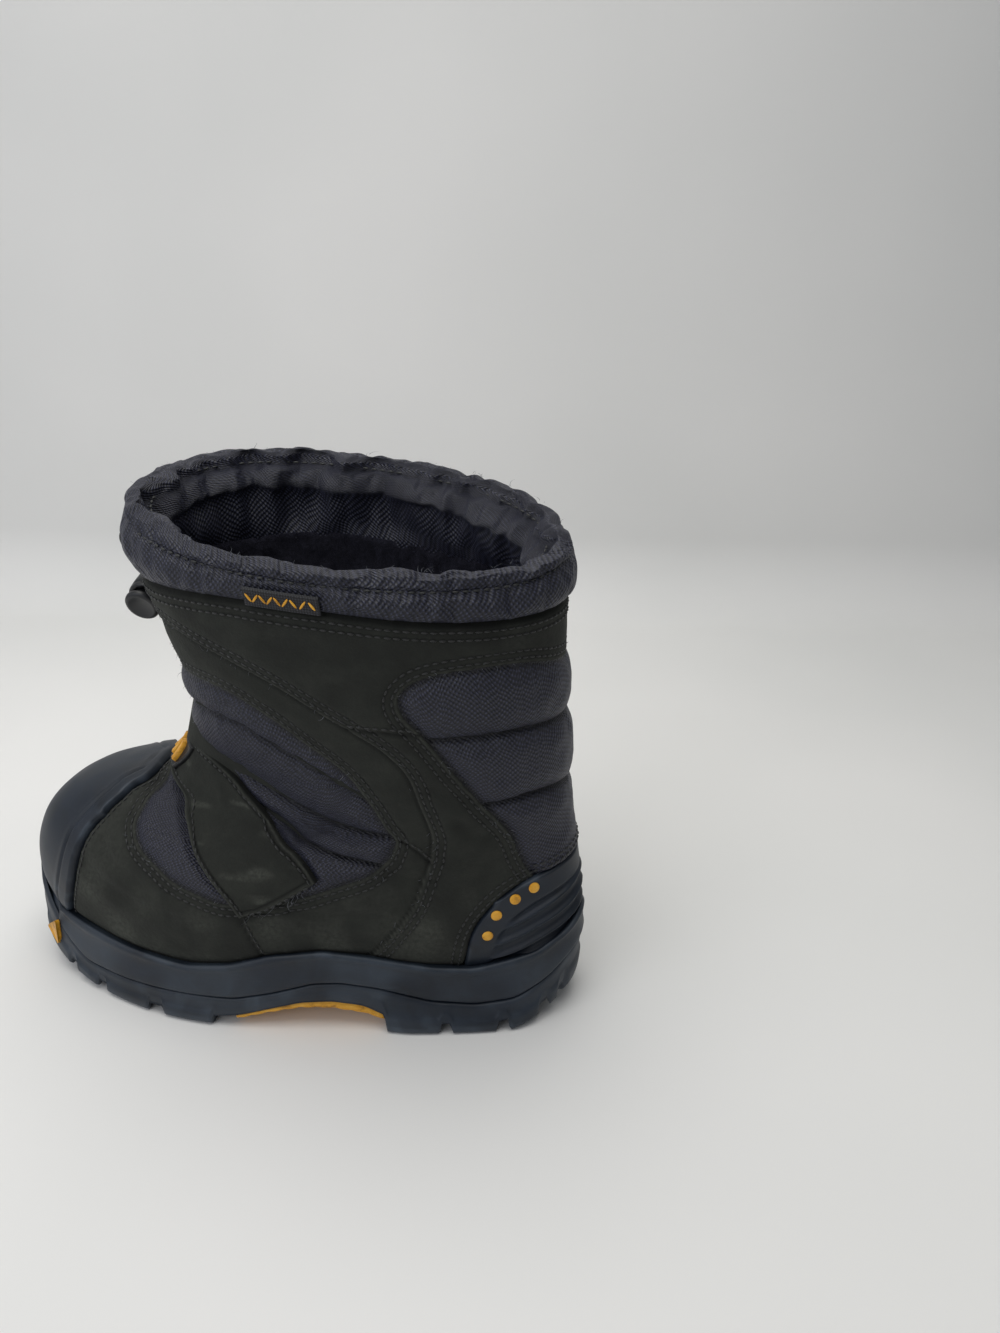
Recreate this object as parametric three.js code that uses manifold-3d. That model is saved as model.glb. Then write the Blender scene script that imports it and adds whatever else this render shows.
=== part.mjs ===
// A child's insulated winter boot for the left foot.
// Millimetres, +Z up, toe towards -X, outer side of the foot towards -Y, standing on Z = 0.
import * as THREE from 'three';
import { mergeVertices } from 'three/addons/utils/BufferGeometryUtils.js';
import Module from 'manifold-3d';

const wasm = await Module();
wasm.setup();

// Driving dimensions.
const gap = 0.3;                  // clearance between neighbouring pieces
const fit = 0.5;                  // clearance of a curved layer over the upper
const upperWall = 4.5;            // leather or nylon, insulation and fleece together
const columns = 56;               // steps round the boot
const upperRows = 20;             // steps from the sole to the collar seam
const bedThickness = 5.5;         // midsole under the foot
const insoleThickness = 4;
const insoleClearance = 0.7;
const hiddenWall = 3.2;           // midsole wall where the outsole lip covers it
const soleEdge = 5.2;             // how far the sole stands out from the upper
const lipTaper = 1.2;             // the outsole lip gets thinner at its top
const heelFlare = 2.4;            // the heel widens down to the ground
const heelTuck = 5;               // and is cut back behind
const counterThickness = 2.6;
const collarWall = 9;
const collarPuff = 1.6;           // how far the padded cuff stands proud of the leather
const strapGap = 0.7;
const strapThickness = 2.4;
const cordDiameter = 2.5;
const lockRadius = 7;
const lockLength = 15;
const buttonTravel = 2;
const spineToe = -88;             // ends of the sole's middle line
const spineHeel = 86;
const toeSwing = 7;               // the toe turns towards the inner side

// The upper's outside: one row per level, from the feather edge to the top of the shaft.
// back and front are X at the centre line; heelHalf, outerHalf and innerHalf are half widths at
// the heel and at the ball; the powers round the ends; bend swings the toe inwards; waist draws
// the sides in at the arch.
const sectionColumns = [
  'height', 'back', 'front', 'heelHalf', 'outerHalf', 'innerHalf', 'toePower', 'heelPower', 'bend', 'waist',
];
const sections = [
  [17, 106, -109, 30, 43, 40, 2.4, 2.3, 7, 5],
  [30, 110.5, -113.5, 33, 47, 45, 2.5, 2.3, 7, 5],
  [43, 111, -114.5, 34, 47.5, 45, 2.5, 2.3, 7, 4],
  [55, 110.5, -112.5, 34, 46, 44, 2.5, 2.3, 7, 3],
  [65, 109, -107, 33.5, 43, 42, 2.45, 2.25, 7, 2],
  [73, 108, -96, 33.5, 39, 39, 2.35, 2.2, 7, 1],
  [79, 107, -79, 33.5, 35, 36, 2.2, 2.2, 6, 0],
  [85, 106, -57, 33.5, 31, 32, 2.15, 2.15, 4, 0],
  [94, 105.5, -44.5, 34.5, 30, 31, 2.1, 2.15, 2, 0],
  [104, 105, -38.5, 36, 31, 32, 2.05, 2.1, 1, 0],
  [120, 104, -36.5, 38, 36, 36, 2.1, 2.1, 0, 0],
  [142, 102.5, -40, 41, 41, 41, 2.15, 2.1, 0, 0],
  [166, 101, -46, 43, 45, 44, 2.2, 2.15, 0, 0],
  [190, 102, -51, 45, 48, 48, 2.2, 2.2, 0, 0],
].map((row) => Object.fromEntries(row.map((value, i) => [sectionColumns[i], value])));

// Lengthways curves of the sole, as height over X.
const footBed = [
  { x: -122, z: 27 },
  { x: -95, z: 21 },
  { x: -70, z: 16.5 },
  { x: -45, z: 15.5 },
  { x: -15, z: 18.5 },
  { x: 20, z: 22.5 },
  { x: 60, z: 23 },
  { x: 122, z: 24 },
];
const featherLine = [
  { x: -122, z: 31 },
  { x: -85, z: 29 },
  { x: -60, z: 26.5 },
  { x: -32, z: 25 },
  { x: -15, z: 27.5 },
  { x: 0, z: 32.5 },
  { x: 20, z: 35 },
  { x: 38, z: 32.5 },
  { x: 60, z: 28 },
  { x: 76, z: 27 },
  { x: 98, z: 32 },
  { x: 108, z: 39 },
  { x: 116, z: 50 },
];
const lipLine = [
  { x: -120, z: 47 },
  { x: -112, z: 40 },
  { x: -100, z: 28 },
  { x: -90, z: 18 },
  { x: -80, z: 11.8 },
  { x: -60, z: 11.6 },
  { x: -42, z: 12.6 },
  { x: -14, z: 13.2 },
  { x: 0, z: 16.5 },
  { x: 16, z: 21.5 },
  { x: 27, z: 22 },
  { x: 41, z: 19.6 },
  { x: 60, z: 13.6 },
  { x: 77, z: 11.6 },
  { x: 91, z: 13 },
  { x: 101, z: 19.5 },
  { x: 111, z: 31 },
  { x: 117, z: 42 },
];
const treadBase = [
  { x: -122, z: 22 },
  { x: -113, z: 15 },
  { x: -101, z: 10.6 },
  { x: -88, z: 7.4 },
  { x: -76, z: 5.4 },
  { x: -62, z: 4.6 },
  { x: -23, z: 4.6 },
  { x: -12, z: 6.2 },
  { x: 0, z: 10 },
  { x: 12, z: 13.4 },
  { x: 24, z: 14.2 },
  { x: 36, z: 12.4 },
  { x: 46, z: 8 },
  { x: 56, z: 5.4 },
  { x: 88, z: 5.4 },
  { x: 103, z: 9 },
  { x: 113, z: 14.5 },
  { x: 122, z: 24 },
];
const treadGround = [
  { x: -122, z: 18 },
  { x: -113, z: 11 },
  { x: -101, z: 6 },
  { x: -88, z: 2.8 },
  { x: -76, z: 0.8 },
  { x: -62, z: 0 },
  { x: 92, z: 0 },
  { x: 103, z: 3.6 },
  { x: 113, z: 9.6 },
  { x: 122, z: 18 },
];

// Main lugs: rows across the sole, each cut into an outer, a middle and an inner block.
const lugRows = [
  { from: -108, to: -92, sweep: 3 },
  { from: -88, to: -76, sweep: 3 },
  { from: -71, to: -50, sweep: 3 },
  { from: -43, to: -22, sweep: -3 },
  { from: 45, to: 66, sweep: -3 },
  { from: 69.5, to: 87, sweep: 0 },
  { from: 91.5, to: 102, sweep: 3 },
  { from: 105, to: 116, sweep: 3 },
];
const lugBlocks = [
  { from: -60, to: -15, share: 1 },
  { from: -11, to: 11, share: 0.55 },
  { from: 15, to: 60, share: 1 },
];

const leather = { color: '#2f312d', roughness: 0.85, metalness: 0 };
const rubber = { color: '#2a323c', roughness: 0.6, metalness: 0 };
const nylon = { color: '#25243a', roughness: 0.8, metalness: 0 };
const yellow = { color: '#dca428', roughness: 0.55, metalness: 0 };
const hardPlastic = { color: '#17191c', roughness: 0.4, metalness: 0 };
const foam = { color: '#1b1b1f', roughness: 0.95, metalness: 0 };

const boot = new THREE.Group();
const degrees = THREE.MathUtils.degToRad;

// ---------- the last ----------

function smooth(from, to, value) {
  const t = THREE.MathUtils.clamp((value - from) / (to - from), 0, 1);
  return t * t * (3 - 2 * t);
}

// Height over X by straight stretches, so that a level stretch stays exactly level.
function heightOn(curve, x) {
  if (x <= curve[0].x) return curve[0].z;
  for (let i = 1; i < curve.length; i += 1) {
    if (x <= curve[i].x) {
      const share = (x - curve[i - 1].x) / (curve[i].x - curve[i - 1].x);
      return THREE.MathUtils.lerp(curve[i - 1].z, curve[i].z, share);
    }
  }
  return curve[curve.length - 1].z;
}

// A row of the section table at a fractional level, by a Catmull-Rom curve through each column.
function sectionAt(level) {
  const last = sections.length - 1;
  const i = Math.min(Math.max(Math.floor(level), 0), last - 1);
  const f = level - i;
  const result = {};
  for (const key of sectionColumns) {
    const p1 = sections[i][key];
    const p2 = sections[i + 1][key];
    const p0 = i > 0 ? sections[i - 1][key] : 2 * p1 - p2;
    const p3 = i + 2 <= last ? sections[i + 2][key] : 2 * p2 - p1;
    const m1 = (p2 - p0) / 2;
    const m2 = (p3 - p1) / 2;
    result[key] = (2 * f ** 3 - 3 * f ** 2 + 1) * p1 + (f ** 3 - 2 * f ** 2 + f) * m1
      + (-2 * f ** 3 + 3 * f ** 2) * p2 + (f ** 3 - f ** 2) * m2;
  }
  return result;
}

// Outside of the upper. turn is 0 at the back of the heel, a quarter turn on the outer side and
// half a turn at the toe. The lower levels follow the foot bed, so the toe springs up.
function upperPoint(turn, level) {
  const row = sectionAt(level);
  const c = Math.cos(turn);
  const s = Math.sin(turn);
  const power = 2 / (c > 0 ? row.heelPower : row.toePower);
  const halfLength = (row.back - row.front) / 2;
  const x = row.back - halfLength + halfLength * Math.sign(c) * Math.abs(c) ** power;
  const along = (row.back - x) / (row.back - row.front);
  const ball = s >= 0 ? row.outerHalf : row.innerHalf;
  const arch = Math.exp(-(((along - 0.43) / 0.17) ** 2)) * row.waist * (s >= 0 ? 0.35 : 1);
  const half = row.heelHalf + (ball - row.heelHalf) * smooth(0.12, 0.72, along) - arch;
  const y = -Math.sign(s) * half * Math.abs(s) ** power + row.bend * smooth(0.45, 1, along);
  const lift = (heightOn(footBed, x) - sections[0].height) * (1 - smooth(17, 62, row.height));
  return new THREE.Vector3(x, y, row.height + lift);
}

function upperNormal(turn, level) {
  const step = 0.004;
  const round = upperPoint(turn + step, level).sub(upperPoint(turn - step, level));
  const low = Math.max(level - step, 0);
  const rise = upperPoint(turn, level + step).sub(upperPoint(turn, low));
  return rise.cross(round).normalize();
}

function offsetPoint(turn, level, distance) {
  return upperPoint(turn, level).addScaledVector(upperNormal(turn, level), distance);
}

// Level of the upper at a given height above the ground.
function levelAt(turn, height) {
  let low = 0;
  let high = sections.length - 1;
  for (let i = 0; i < 30; i += 1) {
    const middle = (low + high) / 2;
    if (upperPoint(turn, middle).z < height) low = middle;
    else high = middle;
  }
  return (low + high) / 2;
}

// A point beside the upper at a given height, moved out level. Below the widest part of the
// upper the wall drops straight down.
function wallPoint(turn, height, distance) {
  const level = Math.max(levelAt(turn, height), 1);
  const outward = upperNormal(turn, level).setZ(0).normalize();
  return upperPoint(turn, level).addScaledVector(outward, distance).setZ(height);
}

// X of the foot of the upper at a turn, the same on both sides of the foot.
const station = (turn) => upperPoint(turn, 0).x;

// The middle line of the sole, where its top and bottom surfaces from both sides meet.
function spinePoint(turn, height) {
  const x = THREE.MathUtils.clamp(station(turn), spineToe, spineHeel);
  return new THREE.Vector3(x, toeSwing * smooth(0, spineToe, x), height(x));
}

// ---------- closed bodies from grids ----------

function solidFrom(points, triangles) {
  const geometry = new THREE.BufferGeometry();
  const flat = points.flatMap((p) => [p.x, p.y, p.z]);
  geometry.setAttribute('position', new THREE.Float32BufferAttribute(flat, 3));
  geometry.setIndex(triangles);
  const merged = mergeVertices(geometry, 1e-4);
  const index = merged.getIndex().array;
  const kept = [];
  for (let i = 0; i < index.length; i += 3) {
    const [a, b, c] = [index[i], index[i + 1], index[i + 2]];
    if (a !== b && b !== c && c !== a) kept.push(a, b, c);
  }
  merged.setIndex(kept);
  return merged;
}

// profiles[i][j]: profile i of a sweep. Profiles run outside first, upwards, so faces point out.
// around joins the last profile to the first; loop joins each profile's last point to its first.
function sweep(profiles, { around = true, loop = true } = {}) {
  const n = profiles.length;
  const m = profiles[0].length;
  const triangles = [];
  const quad = (a, b, c, d) => triangles.push(a, b, c, b, d, c);
  for (let i = 0; i < (around ? n : n - 1); i += 1) {
    const next = (i + 1) % n;
    for (let j = 0; j < (loop ? m : m - 1); j += 1) {
      const up = (j + 1) % m;
      quad(i * m + j, i * m + up, next * m + j, next * m + up);
    }
  }
  if (!around) {
    for (let j = 0; j < m / 2 - 1; j += 1) {
      const back = m - 1 - j;
      quad(j, back, j + 1, back - 1);
      const far = (n - 1) * m;
      quad(far + j, far + j + 1, far + back, far + back - 1);
    }
  }
  return solidFrom(profiles.flat(), triangles);
}

function toManifold(geometry) {
  const bare = new THREE.BufferGeometry();
  bare.setAttribute('position', geometry.getAttribute('position').clone());
  if (geometry.getIndex()) bare.setIndex(geometry.getIndex().clone());
  const merged = mergeVertices(bare, 1e-4);
  return new wasm.Manifold(new wasm.Mesh({
    numProp: 3,
    vertProperties: new Float32Array(merged.getAttribute('position').array),
    triVerts: new Uint32Array(merged.getIndex().array),
  }));
}

function fromManifold(solid) {
  const mesh = solid.getMesh();
  const geometry = new THREE.BufferGeometry();
  geometry.setAttribute('position', new THREE.Float32BufferAttribute(mesh.vertProperties, 3));
  geometry.setIndex([...mesh.triVerts]);
  return geometry;
}

function addPiece(name, geometry, finish) {
  geometry.computeVertexNormals();
  const mesh = new THREE.Mesh(geometry, new THREE.MeshStandardMaterial(finish));
  mesh.name = name;
  boot.add(mesh);
  return mesh;
}

// Column i of the boot, as a turn: the steps are closer along the sides than round the ends.
function columnTurn(i) {
  const even = Math.PI * 2 * i / columns;
  return even + 0.2 * Math.sin(2 * even);
}

function columnTurns(from, to) {
  return Array.from({ length: to - from + 1 }, (_, i) => columnTurn(from + i));
}

const allTurns = columnTurns(0, columns - 1);

function circleSteps(count) {
  return Array.from({ length: count }, (_, i) => Math.PI * 2 * i / count);
}

function steps(count) {
  return Array.from({ length: count }, (_, i) => i / (count - 1));
}

// ---------- upper and collar ----------

// Height of the seam between leather and cuff, and of the cuff's rim.
const rimHeight = (turn) => 198 - 8.5 * Math.sin(turn) - 6.5 * Math.cos(turn);

function seamHeight(turn) {
  const fromSide = (Math.abs(Math.PI - turn) - degrees(75)) / degrees(30);
  return 172 - 2.2 * Math.cos(turn) + 4 * Math.exp(-(fromSide ** 2));
}

function makeUpper() {
  const profiles = allTurns.map((turn) => {
    const top = levelAt(turn, seamHeight(turn) - gap / 2);
    const outside = steps(upperRows).map((v) => upperPoint(turn, v * top));
    const inside = steps(upperRows).map((v) => offsetPoint(turn, (1 - v) * top, -upperWall));
    inside[0].z = outside[upperRows - 1].z;
    inside[upperRows - 1].z = outside[0].z;
    return [...outside, ...inside];
  });
  return sweep(profiles);
}

// The cuff: a padded wall that swells above the seam and rolls over at the rim.
function makeCollar() {
  const outline = [
    { rise: 0, out: 0 },
    { rise: 0.2, out: collarPuff },
    { rise: 0.55, out: collarPuff * 1.3 },
    { rise: 0.86, out: collarPuff * 0.8 },
    { rise: 1, out: -collarWall * 0.35 },
    { rise: 0.86, out: -collarWall * 0.85 },
    { rise: 0.5, out: -collarWall },
    { rise: 0.2, out: -collarWall * 0.85 },
    { rise: 0, out: -upperWall },
  ];
  const profiles = allTurns.map((turn) => outline.map(({ rise, out }) => {
    const low = seamHeight(turn) + gap / 2;
    const height = THREE.MathUtils.lerp(low, rimHeight(turn), rise);
    return wallPoint(turn, height, out);
  }));
  return sweep(profiles);
}

// ---------- sole ----------

const bedUnder = (x) => Math.min(heightOn(footBed, x) - bedThickness, heightOn(lipLine, x) - 1);
const outsoleTop = (x) => bedUnder(x) - gap;
const lipHeight = (turn) => heightOn(lipLine, wallPoint(turn, 30, 0).x);
const featherHeight = (turn) => heightOn(featherLine, wallPoint(turn, 30, 0).x);

// Midsole cup: floor under the foot, wall up to the feather line. Where the outsole lip climbs
// over the toe the wall stays thin behind it.
function makeMidsole() {
  const profiles = allTurns.map((turn) => {
    const feather = featherHeight(turn);
    const lip = lipHeight(turn);
    const shows = smooth(5, 9, feather - lip);
    const edge = THREE.MathUtils.lerp(hiddenWall, soleEdge, shows);
    const shoulder = Math.min(lip + gap, feather - 2);
    const rim = wallPoint(turn, feather, THREE.MathUtils.lerp(hiddenWall, 3.6, shows));
    const floor = (x) => heightOn(footBed, x) - gap;
    const featherLevel = levelAt(turn, feather);
    const inside = steps(5).map((v) => offsetPoint(turn, featherLevel * (1 - v), fit));
    inside[0].z = feather;
    inside[4].z = floor(station(turn));
    return [
      spinePoint(turn, bedUnder),
      wallPoint(turn, 0, hiddenWall).setZ(bedUnder(station(turn))),
      wallPoint(turn, shoulder, hiddenWall),
      wallPoint(turn, shoulder + 0.2, edge),
      wallPoint(turn, (shoulder + feather) / 2, edge - 0.2),
      rim,
      ...inside,
      spinePoint(turn, floor),
    ];
  });
  return sweep(profiles, { loop: false });
}

// The outsole without lugs, or the solid that its lugs are cut from when ground is given.
function outsoleBody(under, top, drop) {
  const profiles = allTurns.map((turn) => {
    const lip = lipHeight(turn);
    const flare = heelFlare * smooth(30, 52, station(turn)) - heelTuck * smooth(86, 106, station(turn));
    const low = wallPoint(turn, 0, soleEdge + gap + flare);
    low.z = under(low.x);
    const inside = wallPoint(turn, 0, hiddenWall + gap).setZ(top(station(turn)));
    if (drop) return [spinePoint(turn, under), low, inside, spinePoint(turn, top)];
    return [
      spinePoint(turn, under),
      low,
      wallPoint(turn, (low.z + lip) / 2, soleEdge + gap + flare * 0.4),
      wallPoint(turn, lip - 1.5, soleEdge + gap),
      wallPoint(turn, lip, soleEdge - lipTaper + gap),
      wallPoint(turn, lip, hiddenWall + gap),
      inside,
      spinePoint(turn, top),
    ];
  });
  return toManifold(sweep(profiles, { loop: false }));
}

function lugPrism(row, block) {
  const middle = (row.from + row.to) / 2;
  const half = (row.to - row.from) / 2 * (block.share < 1 ? 0.8 : 1);
  const swing = toeSwing * smooth(0, spineToe, middle);
  const lean = block.share < 1 ? 0 : Math.sign(block.from) * row.sweep;
  const shape = new THREE.Shape([
    new THREE.Vector2(middle - half, block.from + swing),
    new THREE.Vector2(middle + half, block.from + swing),
    new THREE.Vector2(middle + half - Math.abs(lean) * 0.5, block.to + swing),
    new THREE.Vector2(middle - half - Math.abs(lean) * 0.5, block.to + swing),
  ]);
  const prism = new THREE.ExtrudeGeometry(shape, { depth: 40, bevelEnabled: false });
  prism.translate(0, 0, -5);
  return toManifold(prism);
}

function makeOutsole() {
  const base = (x) => heightOn(treadBase, x);
  const ground = (x) => heightOn(treadGround, x);
  let body = outsoleBody(base, outsoleTop, false);
  const stock = outsoleBody(ground, (x) => (base(x) + outsoleTop(x)) / 2, true);
  for (const row of lugRows) {
    for (const block of lugBlocks) {
      body = body.add(lugPrism(row, block).intersect(stock));
    }
  }
  for (const side of [1, -1]) {
    body = body.subtract(toManifold(plugPrism(side, gap)));
  }
  return fromManifold(body);
}

// Triangular insert let into the toe bumper: corners as a turn from the toe and a height.
const plugCorners = [
  { fromToe: 27, height: 15 },
  { fromToe: 38, height: 25 },
  { fromToe: 37, height: 11.5 },
];
const plugDepth = 1.5;
const plugProud = 0.3;

// side is 1 on the outer side of the foot. grow widens the triangle for its pocket.
function plugPrism(side, grow) {
  const corners = plugCorners.map(({ fromToe, height }) => (
    wallPoint(Math.PI - side * degrees(fromToe), height, soleEdge + gap)));
  const centre = corners[0].clone().add(corners[1]).add(corners[2]).divideScalar(3);
  const outward = new THREE.Vector3()
    .crossVectors(corners[1].clone().sub(corners[0]), corners[2].clone().sub(corners[0]))
    .multiplyScalar(side).normalize();
  const ring = (distance) => corners.map((corner) => {
    const arm = corner.clone().sub(centre);
    return corner.clone().addScaledVector(arm.normalize(), 2 * grow).addScaledVector(outward, distance);
  });
  const profiles = [ring(-plugDepth - grow), ring(grow > 0 ? 6 : plugProud)];
  const wall = [];
  for (let i = 0; i < 3; i += 1) {
    const next = (i + 1) % 3;
    wall.push(i, next, 3 + i, next, 3 + next, 3 + i);
  }
  const triangles = [...wall, 0, 2, 1, 3, 4, 5];
  if (side < 0) triangles.reverse();
  return solidFrom(profiles.flat(), triangles);
}

// Yellow insert under the arch, with a rib every few millimetres.
function makeArchInsert() {
  const pitch = 6.4;
  const insertGap = 0.9;
  const from = -14;
  const count = 9;
  const ribs = [];
  for (let i = 0; i <= count; i += 1) {
    const x = from + i * pitch;
    const deep = 1.2 + 3.4 * smooth(0, 0.6, i / count) - 1.4 * smooth(0.8, 1, i / count);
    const rib = [
      { x: x + 0.4, deep: deep - 0.8 },
      { x: x + pitch * 0.5, deep },
      { x: x + pitch - 0.4, deep: deep - 0.8 },
    ];
    ribs.push(...(i < count ? rib : []));
  }
  const half = 27;
  const profiles = ribs.map(({ x, deep }) => {
    const top = heightOn(treadBase, x) - insertGap;
    const side = half + 3 * smooth(10, -14, x);
    return [
      new THREE.Vector3(x, side + 1, top - deep),
      new THREE.Vector3(x, side + 1, top),
      new THREE.Vector3(x, -side - 3, top),
      new THREE.Vector3(x, -side - 3, top - deep),
    ];
  });
  return sweep(profiles, { around: false });
}

// The footbed keeps its clearance from the straight facet at the foot of the upper's inner wall.
function makeInsole() {
  const profiles = allTurns.map((turn) => {
    const firstRow = levelAt(turn, seamHeight(turn)) / (upperRows - 1);
    const foot = offsetPoint(turn, 0, -upperWall);
    foot.z = upperPoint(turn, 0).z;
    const next = offsetPoint(turn, firstRow, -upperWall);
    const inward = upperNormal(turn, 1).setZ(0).normalize().multiplyScalar(-insoleClearance);
    const edge = (rise) => {
      const share = rise / (next.z - foot.z);
      return foot.clone().lerp(next, share).add(inward);
    };
    return [
      spinePoint(turn, (x) => heightOn(footBed, x) + gap),
      edge(gap),
      edge(gap + insoleThickness),
      spinePoint(turn, (x) => heightOn(footBed, x) + gap + insoleThickness),
    ];
  });
  return sweep(profiles, { loop: false });
}

// ---------- toe cap, counter, strap: layers over the upper ----------

// A layer between two offsets of the upper, over a list of turns, from one height to another.
function layer({ turns, rows, bottom, top, inner, outer }) {
  const profiles = turns.map((turn) => {
    const low = levelAt(turn, bottom(turn));
    const high = levelAt(turn, top(turn));
    const levels = steps(rows).map((v) => THREE.MathUtils.lerp(low, high, v));
    const outside = levels.map((level) => offsetPoint(turn, level, outer));
    const inside = levels.map((level) => offsetPoint(turn, level, inner)).reverse();
    outside[0].z = bottom(turn);
    inside[rows - 1].z = bottom(turn);
    return [...outside, ...inside];
  });
  return sweep(profiles, { around: false });
}

function makeToeCap() {
  return layer({
    turns: columnTurns(22, 34),
    rows: 9,
    bottom: (turn) => featherHeight(turn) + 2 * gap,
    top: (turn) => 81.2 - 10 * Math.abs((turn - Math.PI) / degrees(50)) ** 2.6,
    inner: fit,
    outer: hiddenWall,
  });
}

function makeHeelCounter() {
  const reach = columnTurn(6) + 0.01;
  return layer({
    turns: columnTurns(-6, 6),
    rows: 7,
    bottom: (turn) => featherHeight(turn) + 2 * gap,
    top: (turn) => 34 + 36 * Math.sqrt(Math.max(1 - Math.abs(turn / reach) ** 4.2, 0)),
    inner: fit,
    outer: fit + counterThickness,
  });
}

// The instep strap's two edges on the upper, from the outer end over the instep to the ring.
const strapEdges = [
  { frontTurn: 93, frontHeight: 50, rearTurn: 83, rearHeight: 66 },
  { frontTurn: 97, frontHeight: 59, rearTurn: 84, rearHeight: 73 },
  { frontTurn: 103, frontHeight: 69, rearTurn: 93, rearHeight: 81 },
  { frontTurn: 113, frontHeight: 77, rearTurn: 114, rearHeight: 88 },
  { frontTurn: 137, frontHeight: 84, rearTurn: 142, rearHeight: 97 },
  { frontTurn: 165, frontHeight: 87, rearTurn: 166, rearHeight: 103 },
  { frontTurn: 195, frontHeight: 87, rearTurn: 194, rearHeight: 103 },
  { frontTurn: 223, frontHeight: 84, rearTurn: 218, rearHeight: 97 },
  { frontTurn: 241, frontHeight: 75, rearTurn: 238, rearHeight: 90 },
];
// The anchor tab on the inner side, from the ring down to the leather band above the sole.
const anchorEdges = [
  { frontTurn: 250, frontHeight: 64, rearTurn: 252, rearHeight: 77 },
  { frontTurn: 253, frontHeight: 57, rearTurn: 260, rearHeight: 70 },
  { frontTurn: 256, frontHeight: 50, rearTurn: 268, rearHeight: 60 },
];

// A flat band laid on the upper between two edges, by a smooth curve through each edge.
function band(edges, lengthSteps, widthSteps, inner, outer) {
  const edge = (turnKey, heightKey) => new THREE.CatmullRomCurve3(
    edges.map((row) => new THREE.Vector3(row[turnKey], row[heightKey], 0)),
  );
  const front = edge('frontTurn', 'frontHeight');
  const rear = edge('rearTurn', 'rearHeight');
  const profiles = steps(lengthSteps).map((u) => {
    const a = front.getPoint(u);
    const b = rear.getPoint(u);
    const across = steps(widthSteps).map((v) => {
      const turn = degrees(THREE.MathUtils.lerp(a.x, b.x, v));
      return { turn, level: levelAt(turn, THREE.MathUtils.lerp(a.y, b.y, v)) };
    });
    const outside = across.map(({ turn, level }) => offsetPoint(turn, level, outer));
    const inside = across.map(({ turn, level }) => offsetPoint(turn, level, inner)).reverse();
    return [...outside, ...inside];
  });
  return sweep(profiles, { around: false });
}

function makeCordTab() {
  return layer({
    turns: columnTurns(27, 29),
    rows: 4,
    bottom: (turn) => seamHeight(turn) + 1,
    top: (turn) => 192 - 4 * Math.abs((turn - Math.PI) / degrees(11)) ** 2,
    inner: collarPuff * 1.3 + 0.8,
    outer: collarPuff * 1.3 + 2.6,
  });
}

// ---------- small pieces ----------

// An oval ring between strap and anchor, lying on the inner side of the instep.
function makeRing() {
  const turn = degrees(246.5);
  const level = levelAt(turn, 76);
  const centre = offsetPoint(turn, level, strapGap + 2.6);
  const outward = upperNormal(turn, level);
  const down = new THREE.Vector3(0.35, 0.2, -0.9);
  down.addScaledVector(outward, -down.dot(outward)).normalize();
  const side = new THREE.Vector3().crossVectors(outward, down);
  const length = 9.2;
  const width = 3.1;
  const thickness = 1.3;
  const profiles = circleSteps(18).map((angle) => {
    const spoke = side.clone().multiplyScalar(Math.cos(angle)).addScaledVector(down, Math.sin(angle));
    const middle = centre.clone()
      .addScaledVector(side, length * Math.cos(angle))
      .addScaledVector(down, width * Math.sin(angle));
    return circleSteps(8).map((a) => middle.clone()
      .addScaledVector(spoke, thickness * Math.cos(a))
      .addScaledVector(outward, thickness * Math.sin(a)));
  });
  return sweep(profiles);
}

// A plain moulded badge on the strap at the top of the instep.
function makeBadge() {
  return band(
    [
      { frontTurn: 168, frontHeight: 89.5, rearTurn: 168.5, rearHeight: 100 },
      { frontTurn: 180, frontHeight: 89, rearTurn: 180, rearHeight: 100.5 },
      { frontTurn: 192, frontHeight: 89.5, rearTurn: 191.5, rearHeight: 100 },
    ],
    5,
    3,
    strapGap + strapThickness + gap,
    strapGap + strapThickness + gap + 2,
  );
}

// The lock hangs in front of the shaft, its axis across the foot. Profiles are turned round Y.
const lockCentre = new THREE.Vector3(-54.5, 4, 161);
const lockAxis = new THREE.Vector3(0, -0.92, -0.39).normalize();
const cordFromEnd = 4.4;           // cord hole to the closed end
const cordSpread = 1.75;
const buttonStand = 3.2;           // how far the button stands out when released
const pocketRadius = 5.2;          // the barrel's pocket for the button's stem
const pocketDepth = 8.6;
const stemDepth = 5;

function lathe(outline) {
  const points = outline.map(([r, y]) => new THREE.Vector2(r, y));
  return new THREE.LatheGeometry(points, 20);
}

function placeLock(geometry) {
  const upright = new THREE.Vector3(0, 1, 0);
  geometry.applyQuaternion(new THREE.Quaternion().setFromUnitVectors(upright, lockAxis));
  geometry.translate(lockCentre.x, lockCentre.y, lockCentre.z);
  return geometry;
}

function makeLockBarrel() {
  const end = -lockLength / 2;
  const mouth = lockLength / 2;
  const shell = lathe([
    [0, end],
    [lockRadius - 2, end],
    [lockRadius - 0.8, end + 1],
    [lockRadius, mouth - 3],
    [lockRadius - 0.4, mouth],
    [pocketRadius, mouth],
    [pocketRadius, mouth - pocketDepth],
    [0, mouth - pocketDepth],
  ]);
  const slot = new THREE.BoxGeometry(30, cordDiameter * 2 + 2, cordDiameter + 1);
  slot.translate(0, end + cordFromEnd, 0);
  slot.rotateY(Math.PI / 2);
  return placeLock(fromManifold(toManifold(shell).subtract(toManifold(slot))));
}

function makeLockButton() {
  const mouth = lockLength / 2;
  return placeLock(lathe([
    [0, mouth - stemDepth],
    [pocketRadius - gap, mouth - stemDepth],
    [pocketRadius - gap, mouth + buttonTravel + gap],
    [6.3, mouth + buttonTravel + gap],
    [6.6, mouth + buttonTravel + 1.2],
    [6.2, mouth + buttonStand + 1.4],
    [5, mouth + buttonStand + 1.7],
    [0, mouth + buttonStand + 1.7],
  ]));
}

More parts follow.
